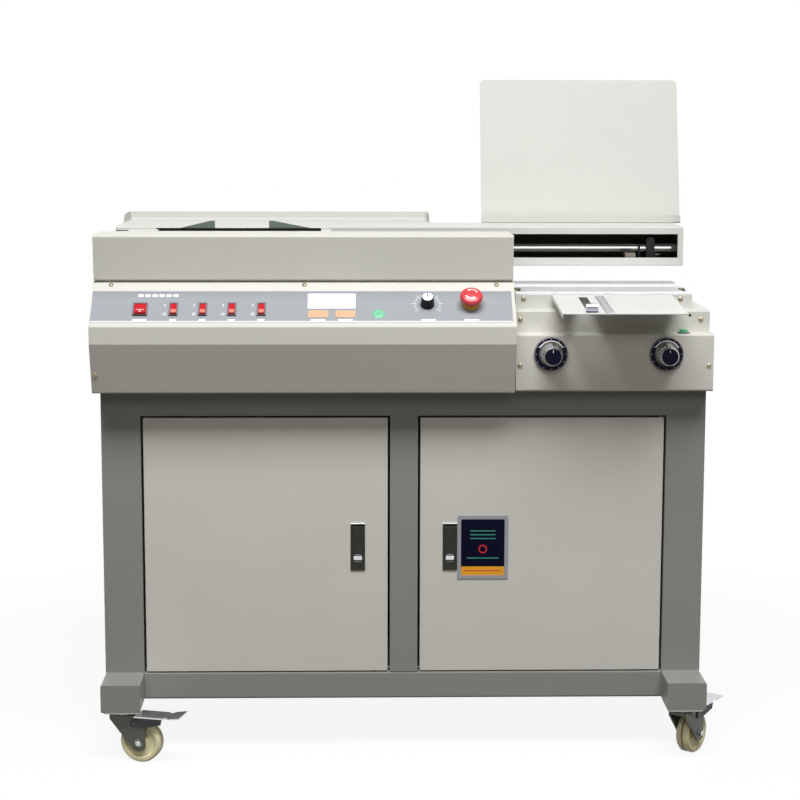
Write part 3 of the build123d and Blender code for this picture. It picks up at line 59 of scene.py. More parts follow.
Pair = tuple[float, float]
Triple = tuple[float, float, float]
Colour = tuple[float, float, float, float]
Pairs = tuple[Pair, ...]

PURE_WHITE: Colour = (1.0, 1.0, 1.0, 1.0)


def drawing_origin() -> np.ndarray:
    """Finds where the drawing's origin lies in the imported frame.

    Returns:
        The point under the cabinet's front middle, in metres.
    """
    low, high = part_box("cabinet_frame")
    return np.array([(low.x + high.x) / 2, high.y - CABINET_REAR * MILLIMETRE, 0.0])


ORIGIN = drawing_origin()


def in_frame(points: Triple | np.ndarray) -> np.ndarray:
    """Carries a point, or rows of them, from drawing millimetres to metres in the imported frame."""
    return np.array(points) * MILLIMETRE + ORIGIN


# Finishes


class Tone(Enum):
    """Colours of the machine, as sRGB bytes."""

    CREAM = (214, 213, 205)
    # Painted shade: a slightly darker copy of CREAM for parts that the lamp lights more.
    CREAM_PALE = (208, 209, 203)
    CABINET = (144, 147, 141)
    DOOR = (215, 213, 205)
    FILM = (158, 162, 168)
    # Painted shade: the film's darker tone under the hood's overhang.
    FILM_SHADE = (142, 145, 153)
    WHITE = (244, 245, 246)
    GLASS = (240, 243, 247)
    ORANGE = (222, 180, 144)
    ORANGE_DEEP = (232, 200, 170)
    MINT = (126, 204, 164)
    MINT_DEEP = (96, 178, 138)
    RED = (196, 14, 30)
    # Painted highlight: the pink highlight on the rockers' lower halves.
    RED_LENS = (240, 118, 110)
    STOP_RED = (214, 44, 54)
    YELLOW = (240, 182, 26)
    GREEN = (44, 186, 118)
    NAVY = (10, 11, 34)
    BLACK = (26, 26, 28)
    LATCH = (54, 54, 48)
    GREY_FRAME = (150, 152, 160)
    AMBER = (240, 164, 22)
    TEAL = (30, 128, 110)
    STEEL = (200, 202, 206)
    ZINC = (178, 178, 176)
    CHROME = (222, 224, 228)
    GUIDE = (186, 188, 200)
    ALUMINIUM = (206, 206, 206)
    FORK = (88, 91, 82)
    DARK_STEEL = (44, 46, 48)
    FIN = (106, 116, 110)
    MOTOR = (70, 76, 80)
    SWITCH = (104, 97, 88)
    RUBBER = (30, 30, 31)
    NYLON = (255, 251, 214)
    GRIME = (92, 74, 44)
    GLUE = (214, 160, 74)
    FLOOR = (250, 250, 250)
    # Painted shade with dirt: the dark brown ring round each tread.
    TREAD = (118, 84, 48)
    FLOOR_BOUNCE = (96, 93, 85)
    # Painted shade: the beam's inside, in shadow behind its window.
    BEAM_SHADE = (112, 115, 100)
    # Painted shade: the slot in front of the clamp's rear jaw.
    JAW_FACING = (38, 40, 38)
    BRASS = (158, 148, 126)
    TABLE = (220, 221, 218)
    BEZEL = (128, 116, 122)
    PLATE = (240, 243, 246)

    def linear(self, scale: float | Triple = 1.0, lift: float = 0.0, most: float = 1.0) -> Colour:
        """Gives the colour as linear light, or a lighter or darker shade of it.

        Args:
            scale: Factor on red, green and blue, or one for each.
            lift: Light added to each.
            most: The most that each may reach.

        Returns:
            Red, green and blue, and full alpha.
        """
        part = np.array(self.value) / 255.0
        light = np.where(part <= 0.04045, part / 12.92, ((part + 0.055) / 1.055) ** 2.4)
        return (*np.minimum(light * scale + lift, most).tolist(), 1.0)


class Link:
    """An output socket of a shader tree."""

    def __init__(self, shader: "Shader", socket: bpy.types.NodeSocket) -> None:
        """Wraps a socket.

        Args:
            shader: The tree that the socket belongs to.
            socket: The socket itself.
        """
        self.shader = shader
        self.socket = socket


class Value(Link):
    """A number that varies over the surface: arithmetic on it adds Math nodes."""

    def _maths(self, operation: str, *terms: "Value | float") -> "Value":
        """Adds one Math node for an operation on these terms, in their order."""
        return self.shader.node("ShaderNodeMath", {"operation": operation}, dict(enumerate(terms)))

    def __add__(self, other: "Value | float") -> "Value":
        """Adds."""
        return self._maths("ADD", self, other)

    __radd__ = __add__

    def __sub__(self, other: "Value | float") -> "Value":
        """Subtracts the other from this."""
        return self._maths("SUBTRACT", self, other)

    def __rsub__(self, other: "Value | float") -> "Value":
        """Subtracts this from the other."""
        return self._maths("SUBTRACT", other, self)

    def __mul__(self, other: "Value | float") -> "Value":
        """Multiplies."""
        return self._maths("MULTIPLY", self, other)

    __rmul__ = __mul__

    def __truediv__(self, other: "Value | float") -> "Value":
        """Divides this by the other."""
        return self._maths("DIVIDE", self, other)

    def __lt__(self, other: "Value | float") -> "Value":
        """Gives 1 where this is less than the other."""
        return self._maths("LESS_THAN", self, other)

    def larger(self, other: "Value | float") -> "Value":
        """Gives the larger of the two."""
        return self._maths("MAXIMUM", self, other)

    def clamped(self) -> "Value":
        """Keeps the number between 0 and 1."""
        return self._maths("MINIMUM", self.larger(0.0), 1.0)


class Vector(Link):
    """A direction or place that varies over the surface: arithmetic on it adds Vector Math nodes."""

    def _maths(self, operation: str, *terms: "Vector | Triple", output: str | int = 0) -> Link:
        """Adds one Vector Math node for an operation on these terms, in their order."""
        settings = {"operation": operation}
        return self.shader.node("ShaderNodeVectorMath", settings, dict(enumerate(terms)), output)

    def __sub__(self, other: "Vector | Triple") -> "Vector":
        """Subtracts the other from this."""
        return self._maths("SUBTRACT", self, other)

    def __mul__(self, other: "Vector | Triple") -> "Vector":
        """Multiplies axis by axis."""
        return self._maths("MULTIPLY", self, other)

    def __abs__(self) -> "Vector":
        """Drops the signs."""
        return self._maths("ABSOLUTE", self)

    def dot(self, other: "Vector") -> Value:
        """Gives the dot product: the cosine of unit directions, or a place's squared distance from 0."""
        return self._maths("DOT_PRODUCT", self, other, output="Value")

    def part(self, axis: str) -> Value:
        """Gives the X, Y or Z part."""
        return self.shader.node("ShaderNodeSeparateXYZ", {}, {0: self}, axis)


WRAPPERS: dict[str, type[Link]] = {"VALUE": Value, "VECTOR": Vector}


class Shader:
    """A material or world under construction."""

    def __init__(self, name: str, world: bpy.types.World | None = None) -> None:
        """Starts an empty node tree.

        Args:
            name: The material's name.
            world: The world whose tree it is, if it isn't a material's.
        """
        self.material = world or bpy.data.materials.new(name)
        self.material.use_nodes = True
        self.tree = self.material.node_tree
        self.tree.nodes.clear()

    def node(self, kind: str, settings: dict, inputs: dict, output: str | int = 0) -> Link:
        """Adds a node, sets its settings first and then its sockets.

        Args:
            kind: The node's type.
            settings: Its properties; "stops" are a ramp's places and colours.
            inputs: Numbers, colours or links by socket name or number.
            output: The name or number of the socket to hand back.

        Returns:
            The output socket, wrapped by its type.
        """
        made = self.tree.nodes.new(kind)
        for key, setting in settings.items():
            if key == "stops":
                ramp = made.color_ramp.elements
                while len(ramp) < len(setting):
                    ramp.new(1.0)
                for stop, (place, colour) in zip(ramp, setting):
                    stop.position, stop.color = place, colour
            else:
                setattr(made, key, setting)
        for key, given in inputs.items():
            if isinstance(given, Link):
                self.tree.links.new(given.socket, made.inputs[key])
            else:
                made.inputs[key].default_value = given
        if not len(made.outputs):
            return Link(self, None)
        socket = made.outputs[output]
        return WRAPPERS.get(socket.type, Link)(self, socket)

    def place(self) -> Vector:
        """Gives the place on the piece, in metres, from its Object coordinates."""
        return self.node("ShaderNodeTexCoord", {}, {}, "Object")

    def noise(self, size: float, detail: float = 2.0, stretch: Triple = (1.0, 1.0, 1.0)) -> Value:
        """Makes soft noise.

        Args:
            size: The width of a blob, in metres.
            detail: How many finer layers it has.
            stretch: Scale along each axis; below 1 draws the blobs out.

        Returns:
            The noise, from 0 to 1.
        """
        inputs = {"Vector": self.place() * stretch, "Scale": 1.0 / size, "Detail": detail, "Roughness": 0.55}
        return self.node("ShaderNodeTexNoise", {}, inputs)

    def mix(self, first: Link | Colour, second: Link | Colour, share: Value | float) -> Link:
        """Mixes two colours, share 0 giving the first and 1 the second."""
        return self.node("ShaderNodeMix", {"data_type": "RGBA"}, {0: share, 6: first, 7: second}, 2)

    def bump(self, height: Value, strength: float, depth: float, rounded: float = 0.0) -> Vector:
        """Turns a height into a normal.

        Args:
            height: The relief, from 0 to 1.
            strength: How much of the relief shows.
            depth: The relief's depth in metres.
            rounded: Radius in metres by which sharp edges catch light as rounded ones, or 0.

        Returns:
            The normal.
        """
        inputs = {"Height": height, "Strength": strength, "Distance": depth}
        if rounded:
            inputs["Normal"] = self.soft_edge(rounded)
        return self.node("ShaderNodeBump", {}, inputs)

    def soft_edge(self, radius: float) -> Vector:
        """Gives the normal of the surface with its edges rounded to a radius in metres."""
        return self.node("ShaderNodeBevel", {"samples": 4}, {"Radius": radius})

    def edge(self, radius: float) -> Value:
        """Gives 1 on edges and 0 on flats: 6 times what the cosine to the rounded normal lacks of 1."""
        straight = self.node("ShaderNodeNewGeometry", {}, {}, "Normal")
        return ((1.0 - self.soft_edge(radius).dot(straight)) * 6.0).clamped()

    def inside(self, low: Triple, high: Triple) -> Value:
        """Tells the inside of a box from its outside.

        Args:
            low: The box's low corner, in drawing millimetres.
            high: Its high corner.

        Returns:
            1 where the distance from the box's middle is less than its half size along every axis, else 0.
        """
        corners = in_frame([low, high])
        middle, half = corners.mean(axis=0), (corners[1] - corners[0]) / 2
        past = abs(self.place() - tuple(middle)) - tuple(half)
        return past.part("X").larger(past.part("Y")).larger(past.part("Z")) < 0.0

    def close(self, sockets: dict) -> bpy.types.Material:
        """Ends the tree in one Principled shader.

        Args:
            sockets: Its numbers, colours or links by socket name.

        Returns:
            The finished material.
        """
        surface = self.node("ShaderNodeBsdfPrincipled", {}, sockets)
        self.node("ShaderNodeOutputMaterial", {}, {"Surface": surface})
        return self.material


@dataclass(frozen=True)
class Patch:
    """A box of a piece that has another colour and less metal, such as a latch housing in a door, or painted
    shade inside the beam and on the clamp's jaw.
    """

    low: Triple
    high: Triple
    tone: Tone
    rough: float
    dulling: float = 0.7


@dataclass(frozen=True)
class Finish:
    """A surface finish; each kind says how its shader is built."""

    name: str
    tone: Tone
    rough: float = 0.4
    patches: tuple[Patch, ...] = ()

    def build(self, shader: Shader) -> dict:
        """Works out the sockets of the Principled shader.

        Args:
            shader: The tree to build in.

        Returns:
            Numbers, colours or links by socket name.
        """
        raise NotImplementedError

    def uneven(self, pattern: Value, spread: float) -> Value:
        """Gives a roughness that a pattern from 0 to 1 spreads about the finish's own."""
        return (pattern - 0.5) * spread + self.rough

    def patched(self, shader: Shader, sockets: dict) -> dict:
        """Gives each patch its own colour and gloss.

        Args:
            shader: The tree to build in.
            sockets: The sockets of the finish round the patches.

        Returns:
            The same sockets, mixed by the patches' areas.
        """
        for patch in self.patches:
            area = shader.inside(patch.low, patch.high)
            sockets["Base Color"] = shader.mix(sockets["Base Color"], patch.tone.linear(), area)
            sockets["Roughness"] = sockets["Roughness"] * (1.0 - area) + area * patch.rough
            if "Metallic" in sockets:
                sockets["Metallic"] = sockets["Metallic"] - area * patch.dulling
        return sockets

    @cache
    def material(self) -> bpy.types.Material:
        """Gives the finish's material, made once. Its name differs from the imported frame's own materials."""
        shader = Shader(f"{self.name}_finish")
        return shader.close(self.patched(shader, self.build(shader)))


@dataclass(frozen=True)
class Paint(Finish):
    """Powder coat on sheet metal: orange peel, cloudy colour, thin bright edges that are a painted highlight
    with a little wear, and faint handling marks.
    """

    peel: float = 0.0016
    shine: float = 0.15
    edge_radius: float = 0.0008

    def build(self, shader: Shader) -> dict:
        """Works out the sockets.

        Args:
            shader: The tree to build in.

        Returns:
            Numbers, colours or links by socket name.
        """
        colour = shader.mix(self.tone.linear(0.955), self.tone.linear(1.035), shader.noise(0.16, 3.0))
        # Painted highlight: edges are mixed towards a paler paint, broken up by noise as a little wear.
        edge_wear_and_highlight = shader.edge(self.edge_radius) * shader.noise(0.012, 4.0)
        colour = shader.mix(colour, self.tone.linear(1.25, most=0.92), edge_wear_and_highlight * 0.5)
        handled = ((shader.noise(0.06, 5.0) - 0.5) * 3.0).clamped()
        rough = handled * 0.08 + self.rough
        skin = shader.noise(self.peel, 1.5) + shader.noise(self.peel * 0.3, 1.0) * 0.35
        normal = shader.bump(skin, 0.16, 0.0002, self.edge_radius)
        return {"Base Color": colour, "Roughness": rough, "Normal": normal, "Specular IOR Level": self.shine}


@dataclass(frozen=True)
class Moulding(Finish):
    """Moulded plastic: fine spark-eroded grain, slightly uneven gloss and edges drawn a little towards a mid
    tone.
    """

    grain: float = 0.0005
    relief: float = 0.25
    shine: float = 0.5
    coat: float = 0.0
    glow: float = 0.0

    def build(self, shader: Shader) -> dict:
        """Works out the sockets.

        Args:
            shader: The tree to build in.

        Returns:
            Numbers, colours or links by socket name.
        """
        base = self.tone.linear()
        colour = shader.mix(base, self.tone.linear(0.9, lift=0.04), shader.edge(0.0005) * 0.35)
        colour = shader.mix(colour, self.tone.linear(0.9), shader.noise(0.02, 3.0) * 0.4)
        rough = self.uneven(shader.noise(0.008, 4.0), 0.12)
        normal = shader.bump(shader.noise(self.grain, 1.0), self.relief, 0.00006, 0.0004)
        sockets = {"Base Color": colour, "Roughness": rough, "Normal": normal, "Coat Weight": self.coat}
        sockets["Specular IOR Level"] = self.shine
        if self.glow:
            sockets |= {"Emission Color": base, "Emission Strength": self.glow}
        return sockets


@dataclass(frozen=True)
class Metal(Finish):
    """Bare metal: drawn-out brushing along one axis and tarnish clouds."""

    lay: Triple = (0.02, 1.0, 1.0)
    brush: float = 0.0004
    relief: float = 0.25
    metallic: float = 1.0

    def build(self, shader: Shader) -> dict:
        """Works out the sockets.

        Args:
            shader: The tree to build in.

        Returns:
            Numbers, colours or links by socket name.
        """
        lines = shader.noise(self.brush, 3.0, self.lay)
        colour = shader.mix(self.tone.linear(0.86), self.tone.linear(), lines)
        colour = shader.mix(colour, self.tone.linear((0.78, 0.76, 0.72)), shader.noise(0.03, 4.0) * 0.4)
        rough, normal = self.uneven(lines, 0.16), shader.bump(lines, self.relief, 0.00005, 0.0004)
        return {"Base Color": colour, "Roughness": rough, "Metallic": self.metallic, "Normal": normal}


@dataclass(frozen=True)
class Zinc(Finish):
    """Zinc plate: pale crystals with a faint warm tint."""

    crystal: float = 0.0035

    def build(self, shader: Shader) -> dict:
        """Works out the sockets.

        Args:
            shader: The tree to build in.

        Returns:
            Numbers, colours or links by socket name.
        """
        inputs = {"Vector": shader.place(), "Scale": 1.0 / self.crystal}
        flake = shader.node("ShaderNodeTexVoronoi", {}, inputs, "Distance")
        colour = shader.mix(self.tone.linear(), self.tone.linear((0.8, 0.78, 0.72)), flake)
        rough, normal = flake * 0.14 + self.rough, shader.bump(flake, 0.12, 0.00004, 0.0004)
        return {"Base Color": colour, "Roughness": rough, "Metallic": 0.92, "Normal": normal}


@dataclass(frozen=True)
class Film(Finish):
    """Printed panel film: satin polyester, with a painted shade that darkens it towards the hood's overhang,
    and a fine embossed grain.
    """

    start: Triple = (0.0, -82.0, 787.0)
    rise: Triple = (0.0, 0.7559, 0.6547)
    span: Pair = (10.0, 87.0)
    bend: float = 0.7

    def build(self, shader: Shader) -> dict:
        """Works out the sockets: the painted hood shade follows the way up the slope, as a share of the film's
        span.

        Args:
            shader: The tree to build in.

        Returns:
            Numbers, colours or links by socket name.
        """
        base, (foot, head) = self.tone.linear(), self.span
        offset = (shader.place() - tuple(in_frame(self.start))) * self.rise
        way = (offset.part("Y") + offset.part("Z")) / MILLIMETRE
        share = ((way - foot) / (head - foot)).clamped()
        # Painted shade: the film darkens over its top part, as under the hood's overhang.
        stops = [(0.0, base), (self.bend, base), (1.0, Tone.FILM_SHADE.linear())]
        hood_shade_tint = shader.node("ShaderNodeValToRGB", {"stops": stops}, {0: share})
        colour = shader.mix(hood_shade_tint, self.tone.linear(0.9), shader.noise(0.1, 4.0) * 0.3)
        rough = self.uneven(shader.noise(0.03, 5.0), 0.14)
        normal = shader.bump(shader.noise(0.0003, 1.0), 0.18, 0.00004, 0.0003)
        return {"Base Color": colour, "Roughness": rough, "Normal": normal, "Specular IOR Level": 0.2}


@dataclass(frozen=True)
class Nylon(Finish):
    """Cast nylon wheel: waxy cream with floor grime worked into the tread and the hollows."""

    grime_height: float = 0.02

    def build(self, shader: Shader) -> dict:
        """Works out the sockets: the grime grows as the height above the floor falls to nothing.

        Args:
            shader: The tree to build in.

        Returns:
            Numbers, colours or links by socket name.
        """
        grime = Tone.GRIME.linear()
        dirt = ((shader.noise(0.009, 5.0) - 0.5) * 3.2).clamped()
        colour = shader.mix(self.tone.linear(), self.tone.linear((0.86, 0.8, 0.62)), shader.noise(0.03, 2.0))
        colour = shader.mix(colour, grime, dirt * 0.1)
        low = ((self.grime_height - shader.place().part("Z")) / self.grime_height).clamped()
        return {
            "Base Color": shader.mix(colour, grime, low * shader.noise(0.006, 4.0) * 0.35),
            "Roughness": dirt * 0.25 + self.rough,
            "Normal": shader.bump(shader.noise(0.0011, 2.0), 0.2, 0.0001, 0.0006),
            "Subsurface Weight": 0.12,
            "Subsurface Radius": (0.004, 0.003, 0.002),
        }


@dataclass(frozen=True)
class Melt(Finish):
    """Molten glue: a clear amber skin with slow ripples."""

    def build(self, shader: Shader) -> dict:
        """Works out the sockets.

        Args:
            shader: The tree to build in.

        Returns:
            Numbers, colours or links by socket name.
        """
        colour = shader.mix(self.tone.linear(), self.tone.linear((0.7, 0.55, 0.35)), shader.noise(0.02, 3.0))
        normal = shader.bump(shader.noise(0.012, 2.0), 0.5, 0.0006)
        return {"Base Color": colour, "Roughness": self.rough, "Normal": normal, "Coat Weight": 0.6}


# The latch housings are part of the doors' nodes, so a patch gives them their own colour.
LATCH_LOW, LATCH_HIGH = (70.0, -2.2, 336.0), (96.0, 24.5, 422.0)
LATCH_PATCHES = (
    Patch(LATCH_LOW, LATCH_HIGH, Tone.LATCH, 0.42),
    Patch((-LATCH_HIGH[0], *LATCH_LOW[1:]), (-LATCH_LOW[0], *LATCH_HIGH[1:]), Tone.LATCH, 0.42),
)
# Painted shade: the beam's inside behind its window is darkened, as it lies in shadow.
BEAM_INSIDE_PAINTED_SHADE = Patch((-527.2, 199.9, 872.8), (522.2, 329.2, 939.2), Tone.BEAM_SHADE, 0.6)
# Painted shade: a dark band on the rear jaw's face stands for the shade inside the clamp's slot.
JAW_FACING = Patch((-454.0, 183.6, 849.0), (-150.0, 184.3, 938.5), Tone.JAW_FACING, 0.55)
PEDAL_CHEEKS = Patch((-700.0, -200.0, 60.0), (700.0, 200.0, 84.4), Tone.DARK_STEEL, 0.5)
EVEN: Triple = (1.0, 1.0, 1.0)

CREAM = Paint("cream_powder_coat", Tone.CREAM, 0.42)
# Painted shade: the rear parts and the beam take a slightly darker copy of the cream, where the overhead lamp
# lights them more.
REAR_CREAM_SHADED = Paint("rear_powder_coat_shaded", Tone.CREAM_PALE, 0.42)
BEAM_SHADED_CREAM = Paint("beam_powder_coat_painted_shade", Tone.CREAM_PALE, 0.42, (BEAM_INSIDE_PAINTED_SHADE,))
CLAMP_CREAM_AND_SHADE = Paint("clamp_powder_coat_painted_shade", Tone.CREAM, 0.42, (JAW_FACING,))
CABINET_GREY = Paint("cabinet_powder_coat", Tone.CABINET, 0.44)
DOOR_BEIGE = Paint("door_powder_coat", Tone.DOOR, 0.42, LATCH_PATCHES)
TABLE_WHITE = Paint("table_powder_coat", Tone.TABLE, 0.42)
MOTOR_PAINT = Paint("motor_enamel", Tone.MOTOR, 0.4)
BLACK_PLASTIC = Moulding("black_plastic", Tone.BLACK, 0.42, shine=0.2)
BEZEL_PLASTIC = Moulding("bezel_grey", Tone.BEZEL, 0.4, shine=0.3)
LATCH_PLASTIC = Moulding("latch_plastic", Tone.LATCH, 0.4, shine=0.15)
YELLOW_PLASTIC = Moulding("yellow_plastic", Tone.YELLOW, 0.32, coat=0.3)
RED_PLASTIC = Moulding("rocker_red", Tone.RED, 0.3, relief=0.08, shine=0.25)
STOP_PLASTIC = Moulding("stop_red", Tone.STOP_RED, 0.34, relief=0.12, coat=0.3)
# Painted highlight: a paler red lens with a faint glow.
LENS_PAINTED_HIGHLIGHT = Moulding("rocker_lens_painted_highlight", Tone.RED_LENS, 0.3, relief=0.05, glow=0.3)
GREEN_PLASTIC = Moulding("start_green", Tone.GREEN, 0.3, coat=0.4)
NAVY_PLASTIC = Moulding("dial_navy", Tone.NAVY, 0.4, relief=0.12, shine=0.1)
WHITE_PRINT = Moulding("white_print", Tone.WHITE, 0.5, relief=0.05)
DISPLAY_GLASS = Moulding("display_window", Tone.GLASS, 0.12, relief=0.02, coat=0.8, glow=0.25)
ORANGE_KEY = Moulding("orange_key", Tone.ORANGE, 0.36, relief=0.06)
ORANGE_RIM = Moulding("orange_key_bar", Tone.ORANGE_DEEP, 0.4, relief=0.06)
MINT_KEY = Moulding("mint_key", Tone.MINT, 0.36, relief=0.06)
MINT_MARK = Moulding("mint_key_bar", Tone.MINT_DEEP, 0.4, relief=0.06)
GREY_FRAME = Metal("plate_frame", Tone.GREY_FRAME, 0.42, metallic=0.5, relief=0.1)
NAVY_FIELD = Moulding("plate_navy", Tone.NAVY, 0.55, relief=0.05, shine=0.05)
AMBER_FIELD = Moulding("plate_amber", Tone.AMBER, 0.34, relief=0.05)
TEAL_PRINT = Moulding("plate_teal", Tone.TEAL, 0.4, relief=0.05)
RED_PRINT = Moulding("plate_red", Tone.RED, 0.4, relief=0.05)
# Painted shade with dirt: the ring round each wheel's tread.
TREAD_SHADE_AND_DIRT_RING = Moulding("tread_shade_and_dirt", Tone.TREAD, 0.6, relief=0.2)
DARK_PRINT = Moulding("dark_print", Tone.DARK_STEEL, 0.5, relief=0.05)
PLUG_PLASTIC = Moulding("plug_black", Tone.BLACK, 0.5, shine=0.2)
# Painted shade: dark foam put where gaps lie in shadow, above the doors and in the clamp's slot.
DARK_FOAM_SHADE = Moulding("dark_foam_painted_shade", Tone.RUBBER, 0.9, grain=0.001, relief=0.5, shine=0.05)
SWITCH_BODY = Moulding("switch_phenolic", Tone.SWITCH, 0.5)
CHROME = Metal("hard_chrome", Tone.CHROME, 0.1, relief=0.04)
ROD_CHROME = Metal("rod_chrome", Tone.PLATE, 0.14, relief=0.04, metallic=0.75)
BUTTON_CHROME = Metal("button_chrome", Tone.PLATE, 0.22, relief=0.04, metallic=0.4)
PLATE_STEEL = Metal("plate_steel", Tone.PLATE, 0.34, relief=0.06, metallic=0.6)
GUIDE_CHROME = Metal("guide_chrome", Tone.GUIDE, 0.2, relief=0.1)
BRIGHT_STEEL = Metal("ground_steel", Tone.STEEL, 0.26)
RULE_STEEL = Metal("rule_steel", Tone.STEEL, 0.5, metallic=0.35, relief=0.1)
PEDAL_STEEL = Metal("pedal_chrome", Tone.CHROME, 0.16, (PEDAL_CHEEKS,), lay=EVEN, brush=0.006, relief=0.6)
KNOB_ALUMINIUM = Metal("knob_aluminium", Tone.ALUMINIUM, 0.3, lay=(1.0, 0.05, 1.0))
CAST_ALUMINIUM = Metal("machined_aluminium", Tone.ALUMINIUM, 0.34, lay=(1.0, 1.0, 0.05))
FORK_STEEL = Metal("fork_steel", Tone.FORK, 0.42, metallic=0.35, lay=EVEN, brush=0.0016)
DARK_STEEL = Metal("dark_steel", Tone.DARK_STEEL, 0.44, metallic=0.6, lay=EVEN, brush=0.001)
FIN_STEEL = Metal("fin_steel", Tone.FIN, 0.4, metallic=0.5)
ZINC_PLATE = Zinc("zinc_plate", Tone.ZINC, 0.32)
SCREW_BRASS = Zinc("screw_brass", Tone.BRASS, 0.3, crystal=0.0015)
BELT_RUBBER = Moulding("belt_rubber", Tone.RUBBER, 0.7, grain=0.0008, relief=0.5)
PANEL_FILM = Film("panel_film", Tone.FILM, 0.55)
WHEEL_NYLON = Nylon("wheel_nylon", Tone.NYLON, 0.42)
GLUE_MELT = Melt("glue_melt", Tone.GLUE, 0.12)

CORNERS = ("front_left", "front_right", "rear_left", "rear_right")
NODE_FINISHES: dict[Finish, tuple[str, ...]] = {
    CREAM: ("lower_cover", "upper_cover", "rear_wall", "nip_front_cover", "nip_mid_cover"),
    REAR_CREAM_SHADED: ("rear_tray", "paper_board", "nip_bed"),
    TABLE_WHITE: ("cover_table",),
    BEAM_SHADED_CREAM: ("guide_beam",),
    CLAMP_CREAM_AND_SHADE: ("clamp_carriage",),
    CABINET_GREY: ("cabinet_frame", "cabinet_panels"),
    DOOR_BEIGE: ("left_door", "right_door"),
    MOTOR_PAINT: ("drive_motors",),
    PANEL_FILM: ("panel_film",),
    BEZEL_PLASTIC: ("panel_bezels",),
    BLACK_PLASTIC: ("speed_knob",),
    LATCH_PLASTIC: ("left_latch_handle", "right_latch_handle"),
    YELLOW_PLASTIC: ("estop_collar",),
    RED_PLASTIC: ("main_rocker", "rocker_1", "rocker_2", "rocker_3", "rocker_4"),
    STOP_PLASTIC: ("estop_head",),
    GREEN_PLASTIC: ("start_button",),
    ROD_CHROME: ("guide_rod",),
    BUTTON_CHROME: ("left_latch_button", "right_latch_button"),
    GUIDE_CHROME: ("side_guide",),
    PLATE_STEEL: ("spine_plates", "nip_jaw", "nip_table"),
    BRIGHT_STEEL: ("clamp_jaw", "milling_cutter"),
    KNOB_ALUMINIUM: ("position_knob_left", "position_knob_right"),
    CAST_ALUMINIUM: ("glue_tank", "glue_roller", "drive_pulley", "idler_pulley"),
    ZINC_PLATE: ("caster_plates", "cover_hinge_rail"),
    SCREW_BRASS: ("cover_screws",),
    DARK_STEEL: ("rod_brackets",),
    FIN_STEEL: ("clamp_fittings",),
    FORK_STEEL: tuple(f"caster_fork_{corner}" for corner in CORNERS),
    PEDAL_STEEL: ("brake_pedal_front_left", "brake_pedal_front_right"),
    WHEEL_NYLON: tuple(f"caster_wheel_{corner}" for corner in CORNERS),
    BELT_RUBBER: ("drive_belt",),
}


# Shapes of the added pieces

BACKWARD: Triple = (0.0, 1.0, 0.0)


@dataclass(frozen=True)
class Face:
    """A flat place on the machine, with two directions along it and one out of it."""

    origin: Triple
    across: Triple = (1.0, 0.0, 0.0)
    upward: Triple = (0.0, 0.0, 1.0)

    def axes(self) -> np.ndarray:
        """Gives the across, upward and outward directions as rows."""
        return np.array([self.across, self.upward, np.cross(self.across, self.upward)])

    def placed(self, points: np.ndarray) -> np.ndarray:
        """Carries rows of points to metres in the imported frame: the origin plus distances times axes."""
        return in_frame(np.array(self.origin) + points @ self.axes())

    def shifted(self, across: float, upward: float, outward: float = 0.0) -> "Face":
        """Gives the same face with its origin moved along it."""
        moved = np.array(self.origin) + np.array([across, upward, outward]) @ self.axes()
        return Face(tuple(moved), self.across, self.upward)


@dataclass
class Shape:
    """Closed surfaces in a face's own millimetres: points, four-sided faces and many-sided end caps."""

    points: np.ndarray
    quads: np.ndarray
    caps: list[np.ndarray] = field(default_factory=list)

    def __add__(self, other: "Shape") -> "Shape":
        """Puts two shapes into one, each still closed by itself.

        Args:
            other: The shape to add.

        Returns:
            The points, faces and caps of both.
        """
        shift, points = len(self.points), np.vstack([self.points, other.points])
        quads, caps = np.vstack([self.quads, other.quads + shift]), [cap + shift for cap in other.caps]
        return Shape(points, quads, self.caps + caps)

    def moved(self, across: float, upward: float, outward: float = 0.0) -> "Shape":
        """Gives the shape moved along its face."""
        return Shape(self.points + [across, upward, outward], self.quads, self.caps)

    def stretched(self, outward: float) -> "Shape":
        """Gives the shape with its outward distances multiplied; -1 mirrors it."""
        return Shape(self.points * [1, 1, outward], self.quads, self.caps)

    def spun(self, degrees: float) -> "Shape":
        """Gives the shape turned about its face's outward direction."""
        c, s = math.cos(math.radians(degrees)), math.sin(math.radians(degrees))
        return Shape(self.points @ [[c, s, 0.0], [-s, c, 0.0], [0.0, 0.0, 1.0]], self.quads, self.caps)


def joined(shapes: Iterable[Shape]) -> Shape:
    """Puts several shapes into one."""
    return reduce(add, shapes)


def swept(rings: np.ndarray, looped: bool = False) -> Shape:
    """Carries a ring of points along a path.

    Args:
        rings: Array (k, n, 3): point j of ring i. Neighbouring points of neighbouring rings span a face.
        looped: Whether the last ring meets the first; otherwise both ends get a cap.

    Returns:
        A closed surface.
    """
    count, size = rings.shape[:2]
    row = np.arange(count if looped else count - 1)[:, None]
    column = np.arange(size)[None, :]
    near, far, beside = row * size, (row + 1) % count * size, (column + 1) % size
    corners = [near + column, near + beside, far + beside, far + column]
    quads = np.stack(np.broadcast_arrays(*corners), axis=-1).reshape(-1, 4)
    caps = [] if looped else [np.arange(size)[::-1], np.arange(size) + (count - 1) * size]
    return Shape(rings.reshape(-1, 3), quads, caps)


def stacked(levels: Iterable[tuple[np.ndarray, float]], looped: bool = False) -> Shape:
    """Joins flat outlines, each with its height, from one to the next."""
    return swept(np.array([np.column_stack([ring, np.full(len(ring), z)]) for ring, z in levels]), looped)


